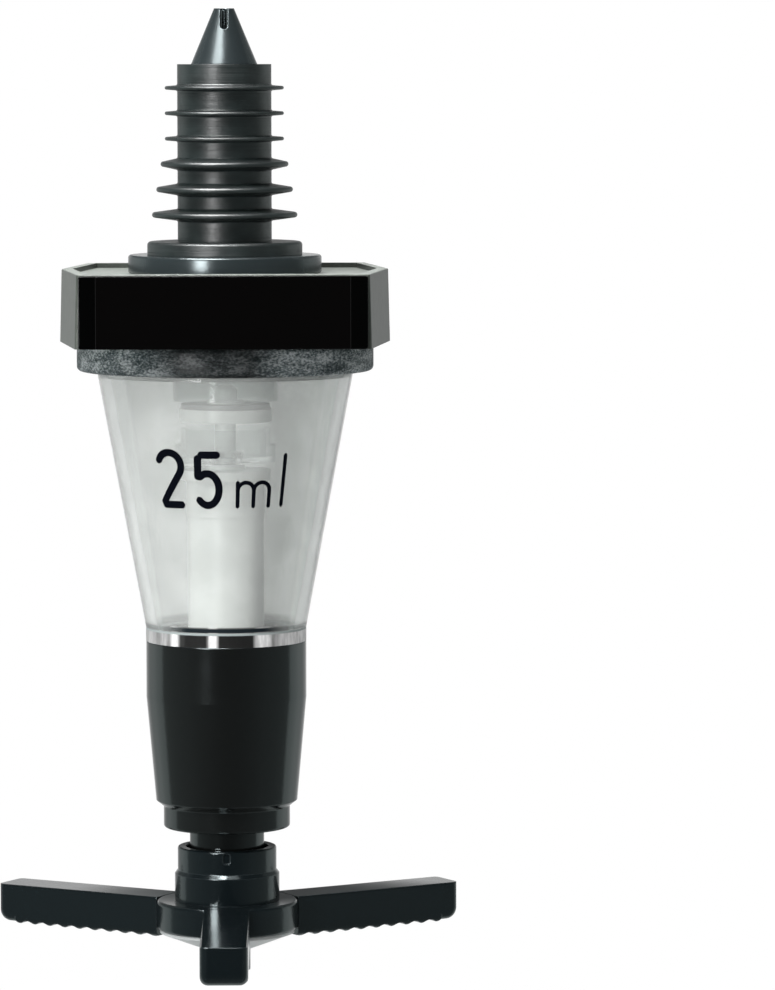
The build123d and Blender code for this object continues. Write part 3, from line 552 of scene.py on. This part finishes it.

# %% Group: foot glints, by height
# Painted pale line and dark arc, where the rim inside the foot is seen through the wall.
painted_line_colour, painted_arc_colour = (0.30, 0.34, 0.34), (0.003, 0.008, 0.012)
parts = split_vector(foot_glints, own_place(foot_glints))
above = add_math(foot_glints, "SUBTRACT", (parts, "Z"), (g_in, "Foot Bottom"))
up = (add_math(foot_glints, "DIVIDE", (above, 0), (g_in, "Foot Height"), use_clamp=True), 0)
in_patches = add_ramp(foot_glints, up, [(0.62, 1.0), (0.68, 0.0)])
in_line = add_ramp(foot_glints, up, [(0.54, 0.0), (0.58, 1.0), (0.65, 1.0), (0.69, 0.0)])
in_arc = add_ramp(foot_glints, up, [(0.65, 0.0), (0.71, 1.0), (0.86, 1.0), (0.96, 0.0)])
lined = mix_colours(foot_glints, (in_line, "Color"), (streaked, "Result"), painted_line_colour)
arced = mix_colours(foot_glints, (in_arc, "Color"), (lined, "Result"), painted_arc_colour)
arc_cover = add_math(foot_glints, "MULTIPLY", (in_arc, "Color"), (arc_share, "Color"))
cover = add_math(foot_glints, "MAXIMUM", (arc_cover, 0), (in_patches, "Color"))
fill(foot_glints, g_out, {"Color": (arced, "Result"), "Cover": (cover, 0)})
print("group", foot_glints.name, "with", len(foot_glints.nodes), "nodes")

# %% [markdown]
# Glass that refracts also stops lamp light in a path tracer. Slow, noisy caustics could bring it back, but
# rays that look for lamps can as well be sent straight through a Transparent shader of a paler tint. What
# tells the plastic from air is then its tint, a faint haze and streaks in it, the flow lines of the
# moulding and a painted shade on the outline, deepest where the wall is seen edge-on.

# %% Lamps let through
outline_start, outline_full, outline_depth = 0.72, 0.97, 0.75
outline_tint_share, haze_tint_share = 0.35, 0.90


def let_lamps_through(tree, surface, output, tint):
    """Sends shadow rays and diffuse rays through a plain tint, and all others to the surface."""
    path = add_node(tree, "ShaderNodeLightPath")
    lamp_ray = add_math(tree, "MAXIMUM", (path, "Is Shadow Ray"), (path, "Is Diffuse Ray"))
    through = add_node(tree, "ShaderNodeBsdfTransparent", {"Color": (*tint, 1.0)})
    shaders = {1: (surface, "Shader"), 2: (through, "BSDF")}
    either = add_node(tree, "ShaderNodeMixShader", {0: (lamp_ray, 0), **shaders})
    fill(tree, output, {"Surface": (either, "Shader")})


def paint_outline_shade(tree, colour, tint):
    """A painted shade: the colour falls towards a third of the tint where the surface is seen edge-on."""
    edge_on = add_node(tree, "ShaderNodeLayerWeight", {"Blend": 0.5})
    at_outline = map_range(tree, (edge_on, "Facing"), outline_start, outline_full, at_high=outline_depth)
    return mix_colours(tree, (at_outline, "Result"), colour, [outline_tint_share * v for v in tint])


print("outline deepens by up to", outline_depth)

# %% Clear plastic
acrylic_ior = 1.49


def clear_plastic(name, tint, milk, flow_depth, roughness=0.02, lamp_tint=None, painted_side_shade=None):
    """Clear moulding: tinted refraction, a milky share, haze, streaks, flow lines, and lamps let through.

    Where stops for a painted side shade are given, the tint is multiplied by a ramp of them round the axis.
    Returns (material, tree, cloudy shader, mix of clear and cloudy), and the mix starts all clear.
    """
    material, tree, shader, output = new_material(name)
    gloss = place_group(tree, handled_gloss, Roughness=roughness, Spread=0.05, Scale=150.0)
    flow = place_group(tree, mould_grain, Scale=90.0, Detail=2.0, Stretch=(1.0, 1.0, 0.35))
    bump = add_bump(tree, (flow, "Height"), flow_depth, 0.5)
    haze = place_group(tree, mould_grain, Scale=160.0, Detail=5.0)
    marked = add_ramp(tree, (haze, "Height"), [(0.35, 0.0), (0.65, 1.0)])
    tinted = mix_colours(tree, (marked, "Color"), [haze_tint_share * v for v in tint], tint)
    streaks = place_group(tree, mould_grain, Scale=700.0, Detail=3.0, Stretch=(1.0, 1.0, 0.12))
    streaked = mix_colours(tree, (streaks, "Height"), (0.93, 0.93, 0.92), (1.0, 1.0, 1.0))
    hazed = multiply_colours(tree, (tinted, "Result"), (streaked, "Result"))
    # Painted shade on the outline, where the wall is seen edge-on.
    body = paint_outline_shade(tree, (hazed, "Result"), tint)
    # Painted shade on one side, from a ramp round the axis.
    if painted_side_shade:
        shade = add_ramp(tree, (round_axis(tree), "Fac"), painted_side_shade)
        body = multiply_colours(tree, (body, "Result"), (shade, "Color"))
    dress(tree, shader, body, gloss, bump, {"Transmission Weight": 1.0 - milk, "IOR": acrylic_ior})
    matt = {"Roughness": 0.4, "IOR": acrylic_ior, "Normal": (bump, "Normal")}
    cloudy = add_node(tree, "ShaderNodeBsdfPrincipled", matt)
    shaders = {1: (shader, "BSDF"), 2: (cloudy, "BSDF")}
    partly = add_node(tree, "ShaderNodeMixShader", {0: 0.0, **shaders})
    let_lamps_through(tree, partly, output, lamp_tint or tint)
    return material, tree, cloudy, partly


print("recipe for clear plastic, IOR", acrylic_ior)

# %% [markdown]
# The chamber is clear all the way from its foot to the flange under the lid, and the flange is smoky. A
# painted shade, from a soft ramp round the axis, makes one side of it a little darker. The flange and the
# foot are not solids of their own, so heights in the chamber's own coordinates pick them.

# %% Chamber: heights
flange_height, flange_reach, flange_blend = 2.6 * mm, 3.3 * mm, 0.1 * mm
foot_height, foot_reach = 2.2 * mm, 3.6 * mm
smoke_cover, glint_cover = 0.985, 0.96
smoke_finish = {"Roughness": 0.5, "Specular IOR Level": 0.08}
# Painted shade: the chamber's tint is a little darker just right of the front.
painted_side_shade_stops = [
    (0.0, 0.95), (0.18, 1.0), (0.29, 1.0), (0.32, 0.77), (0.35, 0.84), (0.38, 1.0), (1.0, 0.95),
]
flange_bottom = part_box("chamber")[1][2] - flange_height
foot_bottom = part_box("lower_body")[1][2]
foot_top = foot_bottom + foot_height
print("smoky above", round(flange_bottom / mm, 1), "mm, foot up to", round(foot_top / mm, 1), "mm")

# %% Chamber: finish
chamber_clear, tree, cloudy, partly = clear_plastic(
    "chamber_clear", (0.83, 0.85, 0.84), 0.22, 0.03 * mm, 0.05, lamp_tint=(0.90, 0.91, 0.90),
    painted_side_shade=painted_side_shade_stops,
)
parts = split_vector(tree, own_place(tree))
in_flange = map_range(
    tree, (parts, "Z"), flange_bottom - flange_blend, flange_bottom + flange_blend, at_high=smoke_cover
)
# The mottle brings painted light and shade round the axis, and the foot glints are painted.
smoky = place_group(tree, smoke_painted_light)
glinting = place_group(tree, foot_glints, Foot_Bottom=foot_bottom, Foot_Height=foot_reach)
glint_share = add_math(tree, "MULTIPLY", (glinting, "Cover"), glint_cover)
clouded = add_math(tree, "MAXIMUM", (in_flange, "Result"), (glint_share, 0))
cloud_colour = mix_colours(tree, (in_flange, "Result"), (glinting, "Color"), (smoky, "Color"))
fill(tree, cloudy, {"Base Color": (cloud_colour, "Result"), **smoke_finish})
fill(tree, partly, {0: (clouded, 0)})
finish_nodes(chamber_clear, "chamber")

# %% [markdown]
# The lid is smoky all over. The label housing is thick, smoky and grey-green, with painted light paling the
# faces that look up. The splash guard and the inlet cage are thin and clean, so they take the plain recipe.

# %% Lid
lid_clear, tree, cloudy, partly = clear_plastic("lid_clear", (0.5, 0.52, 0.52), 0.10, 0.03 * mm)
# Its mottle carries the painted light and shade round the axis.
fill(tree, cloudy, {"Base Color": (place_group(tree, smoke_painted_light), "Color"), **smoke_finish})
fill(tree, partly, {0: smoke_cover})
finish_nodes(lid_clear, "chamber_lid")

# %% Label housing
housing_dark, housing_light = (0.040, 0.047, 0.041), (0.090, 0.100, 0.088)
# Painted light: the faces that look up are paler, as if lit from above.
painted_lit_top_dark, painted_lit_top_light = (0.19, 0.215, 0.19), (0.38, 0.405, 0.38)
housing_cover = 0.92
housing_clear, tree, cloudy, partly = clear_plastic(
    "housing_clear", (0.34, 0.36, 0.33), 0.16, 0.02 * mm, roughness=0.10
)
dull = (place_group(tree, mould_grain, Scale=700.0, Detail=5.0), "Height")
sides = mix_colours(tree, dull, housing_dark, housing_light)
top = mix_colours(tree, dull, painted_lit_top_dark, painted_lit_top_light)
# Painted light on the faces that look up.
painted_lit_top = mix_colours(tree, (facing_up(tree, 0.5, 0.9), "Result"), (sides, "Result"), (top, "Result"))
fill(tree, cloudy, {"Base Color": (painted_lit_top, "Result"), "Specular IOR Level": 0.15})
fill(tree, partly, {0: housing_cover})
finish_nodes(housing_clear, "label_housing")

# %% Splash guard and inlet cage
cup_clear, *_ = clear_plastic("cup_clear", (0.90, 0.92, 0.92), 0.06, 0.01 * mm)
cage_clear, *_ = clear_plastic(
    "cage_clear", (0.52, 0.56, 0.55), 0.05, 0.01 * mm, lamp_tint=(0.93, 0.94, 0.94)
)
finish_nodes(cup_clear, "splash_cup")
finish_nodes(cage_clear, "inlet_cage")

# %% [markdown]
# ### White and natural plastic
# Inside, the valve parts are white acetal, which lets a little light in before it scatters back. The
# nozzle is unpigmented plastic: milky, and light shines some way into it. A plain white would look like
# chalk, so light is let scatter under the skin, to half a millimetre in the white and to one in the other.

# %% White and natural plastic
def pale_plastic(name, shade, light, roughness, soak, soak_depth):
    """Pale plastic with slow shading, a fine grain and light that scatters under its skin."""
    material, tree, shader, _ = new_material(name)
    slow = place_group(tree, mould_grain, Scale=140.0, Detail=4.0)
    grain = place_group(tree, mould_grain, Scale=2400.0)
    gloss = place_group(tree, handled_gloss, Roughness=roughness, Spread=0.12, Scale=200.0)
    edges = place_group(tree, edge_wear, Radius=0.15 * mm)
    shaded = mix_colours(tree, (slow, "Height"), shade, light)
    bump = add_bump(tree, (grain, "Height"), 0.01 * mm, 0.4, edges)
    dress(tree, shader, shaded, gloss, bump, {"Subsurface Weight": soak, "Subsurface Scale": soak_depth})
    fill(tree, shader, {"Subsurface Radius": (1.0, 1.0, 0.95)})
    return material


white_plastic = pale_plastic("white_plastic", (0.66, 0.68, 0.67), (0.74, 0.75, 0.74), 0.35, 0.1, 0.5 * mm)
natural_plastic = pale_plastic(
    "natural_plastic", (0.34, 0.36, 0.36), (0.44, 0.46, 0.46), 0.3, 0.3, 1.0 * mm
)
finish_nodes(white_plastic, "valve_column", "column_cap", "valve_rod", "seal_carrier", "rod_nut")
finish_nodes(natural_plastic, "nozzle")

# %% [markdown]
# ### Steel
# The spring, the clip and the air tube are drawn stainless wire and tube. Drawing leaves fine marks along
# the metal, which a noise stretched along Z shows in both colour and height. The tube stands in the wet and
# is duller, so its steel is a darker one.

# %% Steel
def steel(name, dull, bright):
    """Drawn steel: fine marks along Z in colour and height, and smudged gloss."""
    material, tree, shader, _ = new_material(name)
    draw_marks = place_group(tree, mould_grain, Scale=1800.0, Detail=3.0, Stretch=(1.0, 1.0, 0.1))
    gloss = place_group(tree, handled_gloss, Roughness=0.28, Spread=0.15, Scale=600.0)
    toned = mix_colours(tree, (draw_marks, "Height"), dull, bright)
    bump = add_bump(tree, (draw_marks, "Height"), 0.01 * mm, 0.5)
    dress(tree, shader, toned, gloss, bump, {"Metallic": 1.0})
    return material


drawn_steel = steel("drawn_steel", (0.48, 0.48, 0.47), (0.68, 0.68, 0.67))
tube_steel = steel("tube_steel", (0.10, 0.12, 0.13), (0.17, 0.20, 0.21))
finish_nodes(drawn_steel, "return_spring", "cup_clip")
finish_nodes(tube_steel, "air_tube")

# %% [markdown]
# ## Grid surfaces
# New pieces are grids of points worked out with numpy. Each is a tube: rings of points in a row, like a
# stroke of ink or a wire. Blender's curves with a bevel could make such tubes too, but a grid gives exact
# control of every ring. One function turns any such grid into a closed mesh.

# %% Grid helper
def tube_object(name, points, material, body):
    """A closed mesh from points[row, column, xyz], where each row is a ring.

    Faces join each point with the next of its ring and with the next ring, and the two end rings are
    filled. Rings turn so that the faces point outwards.
    """
    rows, columns, _ = points.shape
    r, c = np.meshgrid(np.arange(rows - 1), np.arange(columns), indexing="ij")
    c_next = (c + 1) % columns
    corners = np.stack(
        [r * columns + c, r * columns + c_next, (r + 1) * columns + c_next, (r + 1) * columns + c], axis=-1
    ).reshape(-1, 4)
    first_end = np.arange(columns)[::-1]
    last_end = np.arange(columns) + (rows - 1) * columns
    faces = corners.tolist() + [first_end.tolist(), last_end.tolist()]
    mesh = bpy.data.meshes.new(name)
    mesh.from_pydata(points.reshape(-1, 3).tolist(), [], faces)
    mesh.polygons.foreach_set("use_smooth", np.ones(len(faces), dtype=bool))
    mesh.materials.append(material)
    piece = bpy.data.objects.new(name, mesh)
    scene.collection.objects.link(piece)
    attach(piece, body)
    print(name, len(faces), "faces")
    return piece


print("helper for tubes")

# %% [markdown]
# ## Volume mark
# The measure is printed on the front of the chamber in dark ink. A flat picture of it could be wrapped on
# as a texture, but real ink has an edge and a thickness, so each stroke of the lettering is a small solid.
# It starts as a path in a flat box, one unit high. The path is widened to a ribbon with round ends, and the
# ribbon is bent round the cone: across becomes an angle, and up becomes height. Upright strokes then follow
# the cone's slope, as real print does.

# %% Ink
print_ink, tree, shader, _ = new_material("print_ink")
patchy = place_group(tree, mould_grain, Scale=1500.0, Detail=4.0)
inked = mix_colours(tree, (patchy, "Height"), (0.0008, 0.0012, 0.003), (0.002, 0.003, 0.006))
gloss = place_group(tree, handled_gloss, Roughness=0.55, Spread=0.2, Scale=900.0)
bump = add_bump(tree, (patchy, "Height"), 0.01 * mm, 0.6)
dress(tree, shader, inked, gloss, bump, {"Specular IOR Level": 0.03})
print("material", print_ink.name, "with", len(tree.nodes), "nodes")

# %% [markdown]
# The letters could come from a font. These are plain stroke letters, though, of straight lines and bows
# only, and strokes laid along a path keep an even width. Each letter is a few paths in its box, from 0 to 1
# across and from 0 to 1 up.

# %% Stroke paths
def straight(start, end, count=24):
    """Points on a straight line: start plus a share of the way to the end."""
    share = np.linspace(0.0, 1.0, count)[:, None]
    return np.array(start) + share * (np.array(end) - np.array(start))


def bow(centre, radii, start, end, count=40):
    """Points on part of an ellipse: centre plus each radius times the cosine or sine of the angle."""
    angle = np.radians(np.linspace(start, end, count))[:, None]
    return np.array(centre) + np.array(radii) * np.hstack([np.cos(angle), np.sin(angle)])


print("a bow of", len(bow((0, 0), (1, 1), 0, 90)), "points")

# %% Glyphs
glyphs = {
    "two": [
        np.vstack([bow((0.50, 0.72), (0.40, 0.226), 172, -35), straight((0.82, 0.58), (0.12, 0.054))]),
        straight((0.11, 0.054), (0.95, 0.054)),
    ],
    "five": [
        straight((0.95, 0.944), (0.15, 0.944)),
        straight((0.15, 0.944), (0.12, 0.50)),
        bow((0.47, 0.335), (0.43, 0.28), 143, -152),
    ],
    "m": [
        straight((0.052, 0.0), (0.052, 1.0)),
        np.vstack([bow((0.276, 0.63), (0.224, 0.30), 180, 0), straight((0.50, 0.60), (0.50, 0.0))]),
        np.vstack([bow((0.724, 0.63), (0.224, 0.30), 180, 0), straight((0.948, 0.60), (0.948, 0.0))]),
    ],
    "l": [straight((0.5, 0.0), (0.5, 1.0))],
}
print("strokes:", sum(len(strokes) for strokes in glyphs.values()))

# %% [markdown]
# A Shrinkwrap modifier could press flat letters onto the chamber, but its wall between foot and flange is a
# true cone, so the radius at each height is known from its two ends, and the bend can be worked out.

# %% The cone under the print
cone_top_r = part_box("chamber")[1][0] - flange_reach
cone_foot_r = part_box("lower_body")[1][0]


def cone_radius(z):
    """Radius of the cone's outside: straight from the foot radius to the radius under the flange."""
    return np.interp(z, [foot_top, flange_bottom], [cone_foot_r, cone_top_r])


print("cone radius", round(cone_foot_r / mm, 1), "mm at the foot,", round(cone_top_r / mm, 1), "at the top")

# %% Printed stroke
ink_depth = 0.03 * mm
ink_gap = 0.005 * mm
around_steps = 12
end_share = 0.98


def printed_stroke(path, first, last, height, baseline, stroke):
    """Grid of one stroke: at each path point an ellipse as wide as the stroke and as deep as the ink.

    Within half a stroke of an end, the width falls as a half circle does, so the end is round.
    """
    middle = baseline + height / 2
    width = math.radians(last - first) * cone_radius(middle)
    flat = path * np.array([width, height])
    step = np.gradient(flat, axis=0)
    step /= np.linalg.norm(step, axis=1)[:, None]
    sideways = np.stack([-step[:, 1], step[:, 0]], axis=1)
    along = np.concatenate([[0.0], np.cumsum(np.linalg.norm(np.diff(flat, axis=0), axis=1))])
    to_end = np.minimum(along, along[-1] - along)
    share = np.clip(1.0 - to_end / (stroke / 2), 0.0, end_share)
    half = stroke / 2 * np.sqrt(1.0 - share**2)
    turn = np.linspace(0.0, 2 * math.pi, around_steps, endpoint=False)
    spots = flat[:, None, :] + sideways[:, None, :] * (half[:, None] * np.cos(turn))[:, :, None]
    angle = math.radians(first) + spots[..., 0] / cone_radius(middle)
    z = baseline + spots[..., 1]
    lift = ink_gap + ink_depth / 2 * (1.0 + np.sin(turn))[None, :]
    radius = cone_radius(z) + lift
    return np.stack([radius * np.sin(angle), -radius * np.cos(angle), z], axis=-1)


print("ink", ink_depth / mm, "mm deep")

# %% Print the mark
baseline = -38.6 * mm
layout = {
    # glyph: (angle of its left edge, of its right edge, height, width of stroke)
    "two": (-36.9, -20.9, 9.7 * mm, 1.22 * mm),
    "five": (-15.5, -1.4, 9.4 * mm, 1.22 * mm),
    "m": (6.0, 25.2, 4.6 * mm, 0.66 * mm),
    "l": (29.6, 34.2, 9.05 * mm, 0.68 * mm),
}
for glyph, (first, last, height, stroke) in layout.items():
    for number, path in enumerate(glyphs[glyph], start=1):
        points = printed_stroke(path, first, last, height, baseline, stroke)
        tube_object(f"mark_{glyph}_{number}", points, print_ink, "optic_body")

# %% [markdown]
# ## Return spring
# The spring pushes the bar down again. The CAD holds it as a rigid solid, so when the bar rises the column
# would cut through it. Here it is wound again as a surface, a circle carried along a helix.

# %% Return spring: coil
def coil(radius, wire, low, high, turns, steps=36, around=14):
    """Rings along a helix: each is the wire's circle, in the plane of the outward and the crosswise way.

    The helix is radius times (cosine, sine) of the angle, and its height grows evenly with the angle.
    """
    angle = np.linspace(0.0, 2 * math.pi * turns, steps * turns + 1)
    rise = (high - low - 2 * wire) / angle[-1]
    outward = np.stack([np.cos(angle), np.sin(angle), np.zeros_like(angle)], axis=1)
    forward = np.stack([-radius * np.sin(angle), radius * np.cos(angle), np.full_like(angle, rise)], axis=1)
    forward /= np.linalg.norm(forward, axis=1)[:, None]
    crosswise = np.cross(forward, outward)
    middle = radius * outward + np.array([0.0, 0.0, 1.0]) * (low + wire + rise * angle)[:, None]
    turn = np.linspace(0.0, 2 * math.pi, around, endpoint=False)[None, :, None]
    return middle[:, None] + wire * (np.cos(turn) * outward[:, None] + np.sin(turn) * crosswise[:, None])


print("one turn takes", len(coil(1.0, 0.1, 0.0, 1.0, 1)), "rings")

# %% Return spring
spring_low, spring_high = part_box("return_spring")[0][2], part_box("return_spring")[1][2]
wire_r = 0.45 * mm
coil_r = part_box("return_spring")[1][0] - wire_r
coil_turns = 6

wound = coil(coil_r, wire_r, spring_low, spring_high, coil_turns)
spring = tube_object("wound_spring", wound, drawn_steel, "optic_body")
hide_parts("return_spring")
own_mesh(spring)

# %% [markdown]
# ## Studio
# The room is plain and pale. What glossy parts mirror matters as much as the light. A room built of walls
# and cards could be mirrored, but two ramps on the direction of a ray do the same with no geometry: one
# from front to back, one from low to high. The surround is pale behind and beside the optic, and falls off
# towards the camera, as a photographer's dark room does, so the black parts stay black in front and show
# pale edges.

# %% Surround
around_stops = [
    (0.0, (0.074, 0.083, 0.084)), (0.25, (0.225, 0.248, 0.246)), (0.60, (0.312, 0.350, 0.343)),
    (0.645, (0.85, 0.94, 0.92)), (0.80, (0.76, 0.83, 0.815)), (0.90, (0.48, 0.515, 0.51)),
    (0.96, (0.56, 0.57, 0.57)), (1.0, 0.95),
]
overhead_stops = [(0.0, 1.0), (0.57, 1.0), (0.65, 0.40), (1.0, 0.25)]
world = bpy.data.worlds.new("studio")
scene.world = world
world.use_nodes = True
tree = world.node_tree
tree.nodes.clear()
toward = split_vector(tree, (add_node(tree, "ShaderNodeTexCoord"), "Generated"))
around = add_ramp(tree, (map_range(tree, (toward, "Y"), -1.0, 1.0), "Result"), around_stops)
overhead = add_ramp(tree, (map_range(tree, (toward, "Z"), -1.0, 1.0), "Result"), overhead_stops)
dimmed = multiply_colours(tree, (around, "Color"), (overhead, "Color"))
print("stops from front to back:", len(around_stops), "and from low to high:", len(overhead_stops))

# %% [markdown]
# Only reflections see those ramps. The camera, and rays that pass through glass, see plain white, and all
# other rays meet a weak even white, which fills the shadows.

# %% Surround: who sees what
white = (1.0, 1.0, 1.0, 1.0)
ambient_strength = 0.32
mirrored = add_node(tree, "ShaderNodeBackground", {"Color": (dimmed, "Result")})
ambient = add_node(tree, "ShaderNodeBackground", {"Color": white, "Strength": ambient_strength})
seen = add_node(tree, "ShaderNodeBackground", {"Color": white, "Strength": 1.0})
path = add_node(tree, "ShaderNodeLightPath")
lighting = add_node(
    tree, "ShaderNodeMixShader", {0: (path, "Is Glossy Ray"), 1: (ambient, 0), 2: (mirrored, 0)}
)
shown = add_math(tree, "MAXIMUM", (path, "Is Camera Ray"), (path, "Is Transmission Ray"))
surround = add_node(tree, "ShaderNodeMixShader", {0: (shown, 0), 1: (lighting, 0), 2: (seen, 0)})
add_node(tree, "ShaderNodeOutputWorld", {"Surface": (surround, 0)})
print("even light", ambient_strength, "of white")

# %% [markdown]
# The floor lies a little below the optic, which hangs free, and takes its shadow. A curved backdrop could
# hide where a floor ends. This one fades to nothing round the optic instead, so floor and surround meet
# without a line. It is clear from below and to glossy rays, so it hides nothing and is not mirrored.

# %% Floor
floor_drop = 25 * mm
floor_half = 6.0
floor_height = cad_box[0][2] - floor_drop
x, y = np.meshgrid([-floor_half, floor_half], [-floor_half, floor_half])
floor_points = np.stack([x, y, np.full_like(x, floor_height)], axis=-1)
floor_mesh = bpy.data.meshes.new("studio_floor")
floor_mesh.from_pydata(floor_points.reshape(-1, 3).tolist(), [], [(0, 1, 3, 2)])
floor = bpy.data.objects.new("studio_floor", floor_mesh)
scene.collection.objects.link(floor)
print("floor at", round(floor_height / mm, 1), "mm")

# %% Floor paper
fade_start, fade_end = 0.09, 0.20
floor_paper, tree, shader, output = new_material("floor_paper")
fibres = place_group(tree, mould_grain, Scale=300.0, Detail=4.0)
paper_colour = mix_colours(tree, (fibres, "Height"), (0.90, 0.90, 0.90), (0.94, 0.94, 0.94))
fill(tree, shader, {"Base Color": (paper_colour, "Result"), "Roughness": 0.9})
away = add_node(tree, "ShaderNodeVectorMath", {0: own_place(tree)}, operation="LENGTH")
faded = map_range(tree, (away, "Value"), fade_start, fade_end)
side = add_node(tree, "ShaderNodeNewGeometry")
path = add_node(tree, "ShaderNodeLightPath")
from_below = add_math(tree, "MAXIMUM", (faded, "Result"), (side, "Backfacing"))
cleared = add_math(tree, "MAXIMUM", (from_below, 0), (path, "Is Glossy Ray"))
nothing = add_node(tree, "ShaderNodeBsdfTransparent")
shaders = {1: (shader, "BSDF"), 2: (nothing, 0)}
blend = add_node(tree, "ShaderNodeMixShader", {0: (cleared, 0), **shaders})
fill(tree, output, {"Surface": (blend, "Shader")})
floor_mesh.materials.append(floor_paper)
print("floor fades from", fade_start, "to", fade_end, "m")

# %% [markdown]
# Six area lamps light the optic: a key and a side lamp on the left, a wide one overhead, a weak one behind,
# a small low one in front that shows as a window in the black parts, and a small one close above the
# stem's nose. Point lamps would be simpler, but a broad lamp gives soft shadows and a shaped highlight.
# Where a lamp would leave a highlight that is not wanted, it is hidden from glossy rays, and the nose lamp
# is hidden from all but those.

# %% Lamps
lamp_aim = (0.0, 0.0, -40 * mm)
nose_aim = (0.0, 0.0, 33 * mm)


def soft_lamp(name, azimuth, elevation, distance, width, height, power, target=lamp_aim, hidden=()):
    """A rectangular lamp round the target: azimuth runs left from the camera's side, in degrees."""
    turn, lift = math.radians(azimuth), math.radians(elevation)
    offset = (
        -distance * math.cos(lift) * math.sin(turn),
        -distance * math.cos(lift) * math.cos(turn),
        distance * math.sin(lift),
    )
    data = bpy.data.lights.new(name, "AREA")
    data.shape = "RECTANGLE"
    data.size, data.size_y = width, height
    data.energy = power
    lamp = bpy.data.objects.new(name, data)
    lamp.location = tuple(t + o for t, o in zip(target, offset))
    lamp.rotation_euler = (math.radians(90) - lift, 0.0, -turn)
    for rays in hidden:
        setattr(lamp, f"visible_{rays}", False)
    scene.collection.objects.link(lamp)
    print(name, power, "W at", distance, "m")


soft_lamp("key_lamp", 30, 46, 1.1, 0.5, 0.5, 10.0)
soft_lamp("side_lamp", 68, 38, 1.1, 0.5, 0.5, 3.8, hidden=["glossy"])
soft_lamp("back_lamp", -150, 25, 1.2, 0.7, 0.7, 6.0, hidden=["glossy"])
nose_hidden = ["diffuse", "camera", "transmission"]
soft_lamp("nose_lamp", 40, 62, 0.26, 0.18, 0.09, 3.2, target=nose_aim, hidden=nose_hidden)
soft_lamp("window_lamp", 28, 3.5, 0.62, 0.14, 0.13, 2.2)
soft_lamp("top_lamp", 0, 80, 1.2, 0.8, 0.8, 7.0)

# %% [markdown]
# ## Finish
# The Standard view shows each colour at about the brightness it is written with. A filmic view would bend
# it.

# %% Finish
scene.view_settings.view_transform = "Standard"
